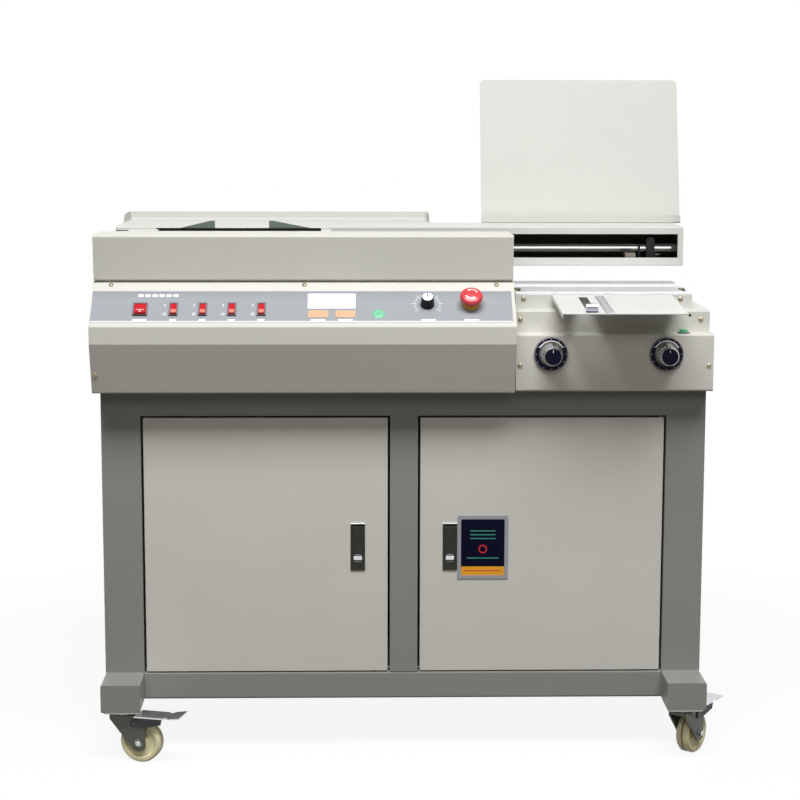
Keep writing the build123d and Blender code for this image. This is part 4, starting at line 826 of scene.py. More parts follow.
def round_outline(width: float, height: float, radius: float, steps: int = 5) -> np.ndarray:
    """Rectangle with round corners: corner centres plus the radius times a quarter turn of cosine and sine.

    Args:
        width: Its width.
        height: Its height.
        radius: The corners' radius.
        steps: Points to a corner.

    Returns:
        Rows of across and upward.
    """
    corner = np.repeat(np.arange(4), steps)
    angle = (corner + np.tile(np.linspace(0.0, 1.0, steps), 4)) * math.pi / 2
    side = np.array([[1, 1], [-1, 1], [-1, -1], [1, -1]])[corner]
    centre = side * [width / 2 - radius, height / 2 - radius]
    return centre + radius * np.column_stack([np.cos(angle), np.sin(angle)])


def circle_outline(radius: float, steps: int = 40) -> np.ndarray:
    """Circle: the radius times cosine and sine of a full turn."""
    angle = np.arange(steps) * 2 * math.pi / steps
    return radius * np.column_stack([np.cos(angle), np.sin(angle)])


def raised(outline: np.ndarray, low: float, high: float, edge: float = 0.0) -> Shape:
    """Carries an outline outward, drawn in by the edge over the last of its rise.

    Args:
        outline: Rows of across and upward.
        low: Where it starts.
        high: Where it ends.
        edge: The width and height of its bevel, or 0.

    Returns:
        The outline times one less the inset's share of its reach, at each level.
    """
    reach = np.abs(outline).max(axis=0)
    levels = [(low, 0.0), (high - edge, 0.0), (high, edge)] if edge else [(low, 0.0), (high, 0.0)]
    return stacked((outline * (1 - inset / reach), z) for z, inset in levels)


def bar(
    width: float, height: float, low: float, high: float, radius: float = 0.5, edge: float = 0.0
) -> Shape:
    """Flat bar with round corners, from low to high."""
    return raised(round_outline(width, height, min(radius, width / 2.01, height / 2.01)), low, high, edge)


def frame_bar(
    width: float, height: float, rim: float, low: float, high: float, radius: float = 2.0
) -> Shape:
    """Picture frame: one rounded rectangle outside at low and high, a smaller one inside at high and low.

    Args:
        width: Its outer width.
        height: Its outer height.
        rim: The width of its sides.
        low: Where it starts.
        high: Where it ends.
        radius: The radius of its outer corners, twice that of the inner ones.

    Returns:
        A closed ring.
    """
    outer = round_outline(width, height, radius)
    inner = round_outline(width - 2 * rim, height - 2 * rim, radius / 2)
    return stacked([(outer, low), (outer, high), (inner, high), (inner, low)], looped=True)


def turned(profile: Iterable[Pair], looped: bool = False, steps: int = 40) -> Shape:
    """Surface of revolution about the outward direction: a circle times each radius, at its height."""
    circle = circle_outline(1.0, steps)
    return stacked([(circle * radius, height) for radius, height in profile], looped)


def washer(outer: float, inner: float, low: float, high: float) -> Shape:
    """Flat ring from low to high."""
    return turned([(outer, low), (outer, high), (inner, high), (inner, low)], looped=True)


def domed_head(radius: float, rise: float, sunk: float = 0.4) -> Shape:
    """Screw head: its height falls from the rise by four fifths of the square of the radius's share."""
    dome = [(max(radius * s, 0.1), rise * (1.0 - 0.8 * s**2)) for s in np.linspace(1.0, 0.0, 7)]
    return turned([(radius, -sunk), *dome], steps=24)


def arc_band(
    inner: np.ndarray, outer: np.ndarray, degrees: np.ndarray, height: np.ndarray, thick: float
) -> Shape:
    """Makes a band along an arc, whose edges may close in as an arrowhead does.

    Args:
        inner: Radius of the inner edge at each angle.
        outer: Radius of the outer edge at each angle.
        degrees: The angles.
        height: Heights of the inner and outer edge, shape (2,) or (k, 2).
        thick: Thickness.

    Returns:
        Radius times cosine and sine of the angle, with four corners to each section.
    """
    angle, height = np.radians(degrees)[:, None], np.broadcast_to(height, (len(degrees), 2))
    radius = np.column_stack([inner, outer, outer, inner])
    level = np.column_stack([height, height[:, ::-1] - thick])
    return swept(np.stack([radius * np.cos(angle), radius * np.sin(angle), level], axis=-1))


# Each digit's bars: across and upward in half heights, and whether the bar stands.
SEGMENTS = {"a": (0, 1, 0), "b": (0.5, 0.5, 1), "c": (0.5, -0.5, 1), "d": (0, -1, 0), "e": (-0.5, -0.5, 1)}
SEGMENTS |= {"f": (-0.5, 0.5, 1), "g": (0, 0, 0)}
DIGITS = ("abcdef", "bc", "abged", "abgcd", "fgbc", "afgcd", "afgedc", "abc", "abcdefg", "abcdfg")


def numeral(text: str, height: float, low: float, high: float) -> Shape:
    """Builds a plain number of seven straight bars to a digit.

    Args:
        text: The number.
        height: Its height.
        low: Where its bars start.
        high: Where they end.

    Returns:
        The bars, each at its half heights from the digit's middle.
    """
    half, stroke = height / 2, height * 0.13
    shapes = []
    for place, digit in enumerate(text):
        shift = (place - (len(text) - 1) / 2) * height * 0.72
        for name in DIGITS[int(digit)]:
            x, y, standing = SEGMENTS[name]
            size = (stroke, half) if standing else (half, stroke)
            shapes.append(bar(*size, low, high, stroke / 3).moved(shift + x * half, y * half))
    return joined(shapes)


def add_piece(name: str, shape: Shape, face: Face, finish: Finish, slot: str, body: str = "machine") -> None:
    """Puts a shape on a face of the machine as a finished piece at the origin, with its place in its mesh.

    Args:
        name: The piece's name.
        shape: Its surfaces in the face's own millimetres.
        face: Where it sits.
        finish: Its finish.
        slot: The record's material slot.
        body: The body that it rides on.
    """
    mesh = bpy.data.meshes.new(name)
    polygons = shape.quads.tolist() + [cap.tolist() for cap in shape.caps]
    mesh.from_pydata(face.placed(shape.points).tolist(), [], polygons)
    work = bmesh.new()
    work.from_mesh(mesh)
    bmesh.ops.remove_doubles(work, verts=work.verts, dist=1e-7)
    bmesh.ops.recalc_face_normals(work, faces=work.faces)
    work.to_mesh(mesh)
    work.free()
    mesh.polygons.foreach_set("use_smooth", np.ones(len(mesh.polygons), dtype=bool))
    mesh.set_sharp_from_angle(angle=SMOOTH_ANGLE)
    mesh.materials.append(finish.material())
    piece = bpy.data.objects.new(name, mesh)
    bpy.context.scene.collection.objects.link(piece)
    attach(piece, body)
    LOG.info("%s: %d faces on %s", name, len(mesh.polygons), body)


# Sub-assemblies


@dataclass
class ControlPanel:
    """The printed film, its switches, display, keys, speed knob and stop button."""

    nose: Triple = (0.0, -82.0, 787.0)
    slope: float = 40.889
    film: float = 0.5
    ink: float = 0.14
    sunk: float = 0.06
    title_start: Pair = (-462.0, 73.6)
    title_bar: Pair = (9.4, 6.4)
    title_pitch: float = 12.2
    title_bars: int = 6
    caption_row: float = 15.6
    caption_height: float = 3.4
    caption_widths: Triple = (12.5, 25.0, 26.0)
    row: float = 40.3
    rockers: Pairs = ((-403.6, 15.7), (-352.8, 15.7), (-302.1, 15.7), (-250.7, 15.7))
    main_rocker: Pair = (-461.3, 26.5)
    rocker_reach: float = 12.8
    rocker_tilt: float = 8.0
    rocker_crown: float = 2.0
    bezel_half: float = 15.5
    bezel_rise: Pair = (2.3, 2.75)
    lens_margin: float = 6.6
    lens_height: float = 11.4
    stroke: Pair = (1.5, 6.0)
    ring: Pair = (3.1, 1.9)
    mark_left: float = 15.2
    mark_rows: Pair = (10.0, -10.7)
    margin_middle: float = -179.5
    margin_width: float = 732.0
    margins: Pairs = ((11.9, 2.2), (84.8, 1.0))
    display: tuple[float, float, float, float] = (-171.2, -85.6, 41.5, 79.3)
    keys: Pairs = ((-169.5, -134.1), (-121.9, -86.8))
    key_rows: Pair = (21.0, 38.3)
    mint_key: Pair = (-46.2, 29.6)
    mint_dome: Pairs = ((11.0, -0.1), (11.0, 0.3), (10.2, 0.7), (5.0, 1.0), (0.2, 1.05))
    knob: Pair = (39.2, 52.5)
    knob_height: float = 20.0
    knob_dish: Pairs = ((9.3, -0.3), (9.3, 0.25), (8.8, 0.42), (6.0, 0.3), (0.2, 0.26))
    ray_sweep: float = 126.0
    ray_start: float = 19.5
    ray_lengths: Pair = (8.5, 5.5)
    stop: Pair = (115.5, 54.0)
    stop_top: float = 27.0
    stop_radius: float = 16.0
    arrow_radius: float = 10.4

    def face(self) -> Face:
        """Gives the sloping face, its origin in the middle of the nose."""
        tilt = math.radians(self.slope)
        return Face(self.nose, upward=(0.0, math.cos(tilt), math.sin(tilt)))

    def printed(self, shape: Shape, across: float, upward: float) -> Shape:
        """Places a flat shape made between 0 and 1 on the film at ink height."""
        return shape.stretched(self.ink + self.sunk).moved(across, upward, self.film - self.sunk)

    def bar(self, width: float, height: float, across: float, upward: float, radius: float = 0.8) -> Shape:
        """Gives a printed bar."""
        return self.printed(bar(width, height, 0, 1, radius), across, upward)

    def title(self) -> Shape:
        """Gives the plain title row of short bars."""
        (left, up), steps = self.title_start, self.title_pitch * np.arange(self.title_bars)
        return joined(self.bar(*self.title_bar, left + step, up, 1.4) for step in steps)

    def captions(self) -> Shape:
        """Gives the plain caption bars under the controls.

        Returns:
            A bar under each rocker, key and knob.
        """
        small, main, wide = self.caption_widths
        places = [(self.main_rocker[0], main), *((x, small) for x, _ in self.rockers)]
        middles = [*(sum(key) / 2 for key in self.keys), self.knob[0] + 1.0, self.stop[0]]
        places += [(x, wide) for x in middles]
        return joined(self.bar(width, self.caption_height, x, self.caption_row) for x, width in places)

    def marks(self) -> Shape:
        """Gives the on and off marks beside the small rockers.

        Returns:
            A stroke and a ring for each.
        """
        on, off = (self.row + up for up in self.mark_rows)
        places, ring = [x - self.mark_left for x, _ in self.rockers], washer(*self.ring, 0, 1)
        return joined(self.bar(*self.stroke, x, on, 0.4) + self.printed(ring, x, off) for x in places)

    def knob_scale(self) -> Shape:
        """Gives the rays round the speed knob.

        Returns:
            19 bars, longer at every third.
        """
        rays = []
        for n, degrees in enumerate(np.linspace(-self.ray_sweep, self.ray_sweep, 19)):
            length = self.ray_lengths[0 if n % 3 == 0 else 1]
            ray = self.bar(length, 1.0, self.ray_start + length / 2, 0.0, 0.3)
            rays.append(ray.spun(90 - degrees).moved(*self.knob))
        return joined(rays)

    def margin_lines(self) -> Shape:
        """Gives the white lower and upper lines of the printing."""
        middle, width = self.margin_middle, self.margin_width
        return joined(self.bar(width, high, middle, up, 0.3) for up, high in self.margins)

    def rocker_face(self, x: float) -> Face:
        """Gives the raised lower half of a rocker.

        Args:
            x: The rocker's middle.

        Returns:
            A face with its origin at the middle crease, turned back by twice the rocker's tilt.
        """
        crown, tilt = self.film + self.rocker_crown, math.radians(self.rocker_tilt)
        base = self.face().shifted(x, self.row + crown * math.sin(tilt), crown * math.cos(tilt) - self.film)
        lean = math.radians(self.slope) - 2 * tilt
        return Face(base.origin, upward=(0.0, math.cos(lean), math.sin(lean)))

    def add_rockers(self) -> None:
        """Adds a paler lens with a faint glow on each small rocker, a painted highlight of its lower half, the
        marks on the main one and black lower rims that also paint the shade under each rocker.
        """
        for number, (x, width) in enumerate(self.rockers, 1):
            # Painted highlight: a paler, faintly glowing lens on the rocker's lower half.
            lens = bar(width - self.lens_margin, self.lens_height, -0.4, 0.3, 2.6, 0.3)
            lens = lens.moved(0.0, 0.2 - self.rocker_reach / 2)
            rocker = f"rocker_{number}"
            add_piece(f"{rocker}_lens", lens, self.rocker_face(x), LENS_PAINTED_HIGHLIGHT, "red_plastic", rocker)
        # Painted shade: the black bars under the rockers are partly the bezels' black rims and partly the
        # shade in the recess below each rocker.
        low = self.row - self.bezel_half + 0.9
        places = (self.main_rocker, *self.rockers)
        rims = joined(bar(wide - 0.4, 1.9, *self.bezel_rise, 0.4).moved(x, low) for x, wide in places)
        add_piece("rocker_rims_and_shade", rims, self.face(), BLACK_PLASTIC, "black_plastic")
        x, width = self.main_rocker
        marks = washer(2.2, 1.4, -0.3, 0.15).moved(0.0, -7.4)
        marks += bar(width - 12.0, 1.4, -0.3, 0.15, 0.5).moved(0.0, -2.2)
        add_piece("main_rocker_marks", marks, self.rocker_face(x), WHITE_PRINT, "red_plastic", "main_rocker")

    def add_display(self) -> None:
        """Adds the display window with a thin surround."""
        left, right, low, high = self.display
        width, height = right - left, high - low
        face = self.face().shifted(left + width / 2, low + height / 2, self.film)
        glass = bar(width - 1.6, height - 1.6, -0.1, 0.5, 1.2, 0.3)
        add_piece("display_window", glass, face, DISPLAY_GLASS, "panel_film")
        rim = frame_bar(width, height, 0.9, -0.1, 0.35, 1.6)
        add_piece("display_surround", rim, face, GREY_FRAME, "panel_film")

    def add_keys(self) -> None:
        """Adds the three membrane keys: domed pads with a paler rim or mark."""
        low, high = self.key_rows
        face, tall, pads, rims = self.face().shifted(0.0, 0.0, self.film), high - low, [], []
        for left, right in self.keys:
            wide, spot = right - left, ((left + right) / 2, (low + high) / 2)
            pads.append(bar(wide, tall, -0.1, 0.7, 2.2, 0.5).moved(*spot))
            rims.append(frame_bar(wide - 4.0, tall - 4.0, 1.0, 0.5, 0.8, 1.6).moved(*spot))
        add_piece("orange_keys", joined(pads), face, ORANGE_KEY, "panel_film")
        add_piece("orange_key_rings", joined(rims), face, ORANGE_RIM, "panel_film")
        face = face.shifted(*self.mint_key)
        add_piece("mint_key", turned(self.mint_dome), face, MINT_KEY, "panel_film")
        mark = washer(9.6, 8.4, 0.4, 0.86) + bar(9.0, 3.4, 0.8, 1.12, 1.2)
        add_piece("mint_key_marks", mark, face, MINT_MARK, "panel_film")

    def add_knob_cap(self) -> None:
        """Adds the bright cap of the speed knob, dished towards its middle."""
        face = self.face().shifted(*self.knob, self.knob_height)
        add_piece("speed_knob_cap", turned(self.knob_dish), face, WHITE_PRINT, "black_plastic", "speed_knob")

    def crown(self, radius: np.ndarray) -> np.ndarray:
        """Gives the stop button's height: its top less 3 times the square of the radius's share."""
        return self.stop_top - 3.0 * (radius / self.stop_radius) ** 2

    def add_stop_arrows(self) -> None:
        """Adds two turning arrows on the crown: an arc whose edges open into a head and close to its tip."""
        degrees = np.concatenate([np.linspace(0, 84, 18), [84.5], np.linspace(88, 112, 8)])
        half = np.concatenate([np.full(18, 1.25), [3.0], np.linspace(2.7, 0.15, 8)])
        inner, outer = self.arrow_radius - half, self.arrow_radius + half
        height = np.column_stack([self.crown(inner), self.crown(outer)]) + 0.18
        arrows = joined(arc_band(inner, outer, degrees + turn, height, 0.5) for turn in (20, 200))
        face = self.face().shifted(*self.stop)
        add_piece("stop_arrows", arrows, face, WHITE_PRINT, "red_plastic", "stop_button")

    def build(self) -> None:
        """Adds every piece of the panel."""
        printing = self.title() + self.captions() + self.marks() + self.knob_scale() + self.margin_lines()
        add_piece("panel_printing", printing, self.face(), WHITE_PRINT, "panel_film")
        self.add_display()
        self.add_keys()
        self.add_rockers()
        self.add_knob_cap()
        self.add_stop_arrows()


@dataclass
class PositionDials:
    """The two position knobs of the nip station: navy scale plates, white arcs and navy inserts."""

    places: tuple[tuple[str, float], ...] = (("left", 257.0), ("right", 461.0))
    front_y: float = -40.0
    height: float = 734.0
    plate: float = 6.0
    ring: Pair = (28.2, 21.3)
    ring_rise: Pair = (-0.3, 0.15)
    tick_radius: float = 26.6
    arc_radii: Pair = (22.3, 24.5)
    arc_sweep: Pair = (30.0, 150.0)
    print_rise: float = 0.3
    grip_end: float = 44.0
    insert: Pairs = ((14.6, -0.2), (14.6, 0.1), (13.8, 0.3), (4.0, 0.1), (0.2, 0.05))

    def marks(self) -> Shape:
        """Gives the white printing of a scale plate.

        Returns:
            An arc and 12 ticks.
        """
        degrees, rise = np.linspace(*self.arc_sweep, 24), self.print_rise
        inner, outer = (np.full(24, radius) for radius in self.arc_radii)
        arc = arc_band(inner, outer, degrees, np.full(2, rise), rise)
        tick = bar(2.2, 0.7, 0.0, rise, 0.2).moved(self.tick_radius, 0)
        return joined([arc, *(tick.spun(turn) for turn in np.arange(0, 360, 30))])

    def build(self) -> None:
        """Adds the pieces of both knobs."""
        for side, x in self.places:
            foot = Face((x, self.front_y, self.height))
            plate, end = foot.shifted(0, 0, self.plate), foot.shifted(0, 0, self.grip_end)
            knob = f"position_knob_{side}"
            ring = washer(*self.ring, *self.ring_rise)
            add_piece(f"dial_field_{side}", ring, plate, NAVY_PLASTIC, "black_plastic")
            add_piece(f"dial_marks_{side}", self.marks(), plate, WHITE_PRINT, "black_plastic")
            add_piece(f"knob_insert_{side}", turned(self.insert), end, NAVY_PLASTIC, "navy_plastic", knob)
            pointer = bar(1.2, 5.0, 0.1, 0.45, 0.4).moved(0.0, 9.4)
            add_piece(f"knob_pointer_{side}", pointer, end, WHITE_PRINT, "navy_plastic", knob)


@dataclass
class CoverTable:
    """The cover-paper table's scale strip and the dark lines across the side guide."""

    front: Pair = (-145.0, 816.0)
    rear: Pair = (38.0, 830.0)
    strip: Pair = (340.0, 357.0)
    strip_start: float = 4.0
    strip_length: float = 172.0
    scale_start: float = 8.0
    scale_pitch: float = 2.5
    tick_lengths: Pair = (6.0, 3.0)
    numbers: int = 16
    print_rise: Pair = (0.2, 0.32)
    slot_x: float = 318.0
    guide_near: float = 12.0
    guide_width: float = 20.0
    guide_height: float = 14.0

    def face(self) -> Face:
        """Gives the table's top, its origin on the front edge."""
        rise = np.array([0.0, self.rear[0] - self.front[0], self.rear[1] - self.front[1]])
        return Face((0.0, *self.front), upward=tuple(rise / np.linalg.norm(rise)))

    def build(self) -> None:
        """Adds the strip, its graduations and numbers, and the lines on the guide."""
        left, right = self.strip
        strip = bar(right - left, self.strip_length, -0.1, 0.25, 0.6, 0.1)
        strip = strip.moved((left + right) / 2, self.strip_start + self.strip_length / 2)
        add_piece("table_scale", strip, self.face(), RULE_STEEL, "bright_steel")
        marks = []
        for n, up in enumerate(np.arange(self.scale_start, self.strip_length, self.scale_pitch)):
            length = self.tick_lengths[0 if n % 4 == 0 else 1]
            marks.append(bar(length, 0.35, *self.print_rise, 0.1).moved(left + 0.6 + length / 2, up))
        for n in range(1, self.numbers + 1):
            up = self.scale_start + 4 * n * self.scale_pitch
            marks.append(numeral(str(n), 3.4, *self.print_rise).moved(right - 4.2, up))
        add_piece("table_scale_marks", joined(marks), self.face(), DARK_PRINT, "bright_steel")
        near = self.face().shifted(self.slot_x, self.guide_near)
        upright = Face(near.origin, upward=tuple(np.cross(near.across, near.upward)))
        lines = bar(self.guide_width + 0.8, 2.0, -0.2, 0.4, 0.5).moved(0.0, 1.1)
        lines += bar(self.guide_width - 3.0, 1.6, -0.3, 0.3, 0.5).moved(0.0, self.guide_height - 5.6)
        add_piece("side_guide_lines", lines, upright, BLACK_PLASTIC, "black_plastic", "side_guide")


@dataclass
class DoorFittings:
    """What is fixed to the doors: the framed plate and the latches' trim."""

    latch_x: float = 83.0
    latch_z: Pair = (336.0, 422.0)
    button_z: float = 359.0
    plate_low: Pair = (96.6, 319.6)
    plate_size: Pair = (91.6, 116.4)
    plate_rim: float = 6.5
    field_rise: Pair = (0.5, 0.95)
    print_rise: Pair = (0.8, 1.15)
    lines: Pairs = ((46.0, 30.0), (46.0, 23.0), (46.0, 16.0), (58.0, -20.0))
    mark_rise: Pair = (1.9, 2.15)

    def build(self) -> None:
        """Adds the pieces of both doors."""
        self.add_plate()
        for side, way in (("left", -1), ("right", 1)):
            self.add_latch(side, way)

    def add_plate(self) -> None:
        """Adds the plate on the right door: a grey frame round a navy field with bars over an amber band."""
        width, height = self.plate_size
        face = Face((self.plate_low[0] + width / 2, 0.0, self.plate_low[1] + height / 2))
        ink, inside = self.print_rise, width - 2 * self.plate_rim - 0.4
        lines = joined(bar(wide, 2.2, *ink, 0.8).moved(0.0, up) for wide, up in self.lines)
        rim = frame_bar(width, height, self.plate_rim, -0.2, 1.4, 1.5)
        rim += bar(width - 2, height - 2, -0.2, 0.7, 1.0)
        mark = washer(8.0, 5.4, *ink).moved(0.0, -3.4) + bar(66.0, 1.6, *ink, 0.5).moved(0.0, -43.2)
        navy = bar(inside, 86.5, *self.field_rise, 0.4).moved(0.0, 7.8)
        amber = bar(inside, 17.6, *self.field_rise, 0.4).moved(0.0, -43.4)
        layers = (
            ("frame", rim, GREY_FRAME, "door_paint"),
            ("field", navy, NAVY_FIELD, "navy_plastic"),
            ("band", amber, AMBER_FIELD, "yellow_plastic"),
            ("lines", lines, TEAL_PRINT, "green_plastic"),
            ("mark", mark, RED_PRINT, "red_plastic"),
        )
        for name, shape, finish, slot in layers:
            add_piece(f"door_plate_{name}", shape, face, finish, slot, "right_door")

    def add_latch(self, side: str, way: int) -> None:
        """Adds a latch's bright chrome top strip, a painted highlight of its lit top edge, and plain marks.

        Args:
            side: The door's side.
            way: -1 for the left door and 1 for the right one.
        """
        low, high = self.latch_z
        middle, door = (low + high) / 2, f"{side}_door"
        face, button = Face((way * self.latch_x, 0.0, middle)), self.button_z - middle
        # Painted highlight: a chrome strip along the latch's top edge stands for its lit edge.
        strip = bar(26.0, 1.8, 0.2, 2.2, 0.5, 0.3).moved(0.0, (high - low) / 2 - 0.2)
        add_piece(f"latch_highlight_strip_{side}", strip, face, CHROME, "chrome", door)
        lines = bar(13.0, 0.9, *self.mark_rise, 0.3).moved(0.0, button - 6.6)
        lines += bar(12.0, 1.2, *self.mark_rise, 0.3).moved(0.0, button + 6.2)
        add_piece(f"latch_marks_{side}", lines, face, GREY_FRAME, "latch_plastic", door)
        grip = joined(bar(15.0, 0.8, 2.35, 2.75, 0.3).moved(0.0, 14.0 - 2.6 * n) for n in range(4))
        grip += bar(12.0, 1.2, 2.35, 2.62, 0.4).moved(0.0, 30.0)
        add_piece(f"latch_grip_{side}", grip, face, LATCH_PLASTIC, "latch_plastic", f"{side}_latch_handle")


@dataclass
class Caster:
    """One caster's trim: axle nuts, a dark brown ring round the tread, partly dirt and partly painted shade of
    the tread, and, with a brake, the pedal's ribs.
    """

    name: str
    at: Pair
    degrees: float
    brake: bool = False
    trail: float = 35.0
    radius: float = 37.5
    leg_out: float = 18.0
    nut: Pairs = ((3.4, 4.0), (3.0, 5.0), (0.2, 5.4))
    mark_half: Pair = (1.5, 1.8)
    mark_rise: Pair = (0.04, -0.35)
    pedal_top: float = 87.2
    rib_start: float = 40.0
    rib_pitch: float = 4.0

    def heading(self) -> Pair:
        """Gives the cosine and sine of the caster's turn about its swivel."""
        return math.cos(math.radians(self.degrees)), math.sin(math.radians(self.degrees))

    def add_nuts(self, hub: Face) -> None:
        """Adds a nut with its washer and the bolt's end on both legs.

        Args:
            hub: The wheel's middle, facing along the axle.
        """
        nut = raised(circle_outline(5.8, 6), 0.1, 4.3, 0.7) + washer(7.0, 5.0, 0.02, 1.1) + turned(self.nut)
        nut = nut.moved(0.0, 0.0, self.leg_out)
        fork = f"caster_fork_{self.name}"
        add_piece(f"axle_nuts_{self.name}", nut + nut.stretched(-1), hub, BRIGHT_STEEL, "chrome", fork)

    def build(self) -> None:
        """Adds the pieces of one caster."""
        (x, y), (c, s) = self.at, self.heading()
        hub = Face((x + self.trail * c, y + self.trail * s, self.radius), across=(c, s, 0.0))
        self.add_nuts(hub)
        # Painted shade with dirt: a dark brown band round the tread's middle.
        (near, far), (rim, inner) = self.mark_half, (self.radius + rise for rise in self.mark_rise)
        shade_and_dirt_ring = turned([(inner, -far), (rim, -near), (rim, near), (inner, far)], looped=True, steps=128)
        wheel = f"caster_wheel_{self.name}"
        add_piece(f"tread_shade_and_dirt_ring_{self.name}", shade_and_dirt_ring, hub, TREAD_SHADE_AND_DIRT_RING, "wheel_nylon", wheel)

    def add_pedal(self) -> None:
        """Adds the pedal pad's cross ribs, a little above its plate."""
        c, s = self.heading()
        face = Face((*self.at, self.pedal_top), across=(c, s, 0.0), upward=(-s, c, 0.0))
        rib = bar(1.4, 26.0, -0.6, 0.5, 0.4, 0.2).moved(self.rib_start, 0.0)
        ribs = joined(rib.moved(self.rib_pitch * n, 0.0) for n in range(3))
        pedal = f"brake_pedal_{self.name}"
        add_piece(f"pedal_ribs_{self.name}", ribs, face, PEDAL_STEEL, "fork_steel", pedal)


@dataclass
class GuideBeam:
    """What shows in the beam's window: the belt's teeth and the limit switch's case."""

    belt_y: float = 285.0
    belt_radius: float = 15.0
    pulleys: Pair = (-505.0, 488.0)
    belt_middle: float = 893.0
    pitch: float = 5.0
    switch: Triple = (427.5, 203.0, 883.0)

    def build(self) -> None:
        """Adds the belt's teeth along both runs and the limit switch."""
        places = np.arange(self.pulleys[0] + 10, self.pulleys[1] - 10, self.pitch)
        tooth = bar(2.4, 9.6, 0.0, 1.1, 0.3, 0.3)
        for run, way in (("front", -1), ("rear", 1)):
            y = self.belt_y + way * self.belt_radius
            face = Face((0.0, y, self.belt_middle), across=(float(-way), 0.0, 0.0))
            teeth = joined(tooth.moved(-way * x, 0.0, -0.15) for x in places)
            add_piece(f"belt_teeth_{run}", teeth, face, BELT_RUBBER, "belt_rubber")
        case = bar(19.6, 20.6, -19.5, 0.4, 1.0, 0.4) + bar(12.0, 6.0, 0.2, 0.8, 0.5).moved(0.0, -3.0)
        add_piece("limit_switch_case", case, Face(self.switch), SWITCH_BODY, "dark_steel")


@dataclass
class NipStation:
    """Screws of the fixed nip plate."""

    places: Pairs = ((208.0, 245.0), (358.25, 245.0), (508.5, 245.0))
    top: float = 835.5
    socket_head: Pairs = ((2.85, -3.0), (2.85, -0.5), (2.5, -0.2), (1.6, -0.2), (1.6, -1.8))

    def build(self) -> None:
        """Adds socket-head screws sunk in the plate's holes."""
        for number, (x, y) in enumerate(self.places, 1):
            face = Face((x, y, self.top), upward=BACKWARD)
            add_piece(f"plate_screw_{number}", turned(self.socket_head), face, ZINC_PLATE, "zinc_steel")


@dataclass
class GluePot:
    """The molten glue round the roller."""

    inside: tuple[float, float, float, float] = (45.3, 164.7, 133.3, 218.7)
    level: float = 806.0
    depth: float = 12.0
    ripple: float = 0.5
    climb: float = 1.6

    def build(self) -> None:
        """Adds the glue: a shallow block whose top ripples by a product of sines and climbs at the walls."""
        left, right, near, far = self.inside
        u, v = np.meshgrid(np.linspace(0, 1, 40), np.linspace(0, 1, 30))
        climb = self.climb * (np.abs(2 * u - 1) ** 12 + np.abs(2 * v - 1) ** 12)
        top = self.level + self.ripple * np.sin(u * 7.0) * np.sin(v * 5.0) + climb
        x, y = left + (right - left) * u, near + (far - near) * v
        upper = np.stack([x, y, top], axis=-1)
        lower = np.stack([x, y, np.full_like(x, self.level - self.depth)], axis=-1)[:, ::-1]
        pool, face = swept(np.concatenate([upper, lower], axis=1)), Face((0.0, 0.0, 0.0), upward=BACKWARD)
        add_piece("glue_pool", pool, face, GLUE_MELT, "yellow_plastic")


@dataclass
class ClampTrim:
    """Small screws that hold the fins' feet to the rear jaw, and a dark strip on the jaw's face that paints
    the shade in the clamp's slot.
    """

    places: tuple[float, ...] = (-406.0, -354.0, -238.0, -174.0)
    row: float = 190.6
    top: float = 940.0
    facing_x: Pair = (-454.0, -150.0)
    facing_z: Pair = (929.0, 940.6)
    jaw_y: float = 184.0

    def build(self) -> None:
        """Adds the screws, each a domed head, and the dark strip of painted shade."""
        heads = joined(domed_head(2.6, 1.7).moved(x, self.row) for x in self.places)
        jaw_top = Face((0.0, 0.0, self.top), upward=BACKWARD)
        add_piece("fin_screws", heads, jaw_top, ZINC_PLATE, "zinc_steel", "carriage")
        # Painted shade: a dark foam strip stands where the slot lies in shadow.
        (left, right), (low, high) = self.facing_x, self.facing_z
        face = Face(((left + right) / 2, self.jaw_y, (low + high) / 2))
        strip = bar(right - left, high - low, -0.35, 0.4, 1.0, 0.1)
        add_piece("jaw_facing", strip, face, DARK_FOAM_SHADE, "black_plastic", "carriage")


@dataclass
class HoodTrim:
    """Domed screws on the hood's skirts."""

    sides: tuple[tuple[str, float, float], ...] = (("left", -547.0, -1.0), ("right", 192.0, 1.0))
    place: Pair = (10.0, 878.0)

    def build(self) -> None:
        """Adds one screw to each skirt."""
        head = domed_head(4.0, 0.9)
        for side, x, way in self.sides:
            face = Face((x, *self.place), across=(0.0, way, 0.0))
            add_piece(f"hood_screw_{side}", head, face, SCREW_BRASS, "zinc_steel", "upper_cover")


@dataclass
class CabinetTrim:
    """Plugs in the rear ends of the foot beams, and dark foam strips behind the doors' top edges that paint
    the shade in the gap above each door.
    """

    plug: Triple = (505.0, 484.9, 122.0)
    plug_size: Pair = (63.2, 43.2)
    seal: Triple = (246.0, 20.5, 613.15)
    seal_size: Pair = (430.0, 10.3)

    def build(self) -> None:
        """Adds both plugs, a plate in the tube's mouth with a raised rim, and both strips of painted shade."""
        plug = bar(*self.plug_size, -14.0, -1.0, 2.0) + frame_bar(*self.plug_size, 3.0, -2.0, -0.2, 2.0)
        # Painted shade: a dark foam strip fills the gap above each door.
        seal = bar(*self.seal_size, -2.0, 2.0, 1.0)
        for side, way in (("left", -1), ("right", 1)):
            end = Face((way * self.plug[0], *self.plug[1:]), across=(-1.0, 0.0, 0.0))
            add_piece(f"foot_plug_{side}", plug, end, PLUG_PLASTIC, "black_plastic")
            door_top = Face((way * self.seal[0], *self.seal[1:]))
            add_piece(f"door_gap_shade_strip_{side}", seal, door_top, DARK_FOAM_SHADE, "black_plastic")


# Studio


@dataclass(frozen=True)
class Lamp:
    """A soft rectangular lamp, in metres and watts."""

    name: str
    at: Triple
    aim: Triple
    size: Pair
    power: float
    mirrored: bool = True


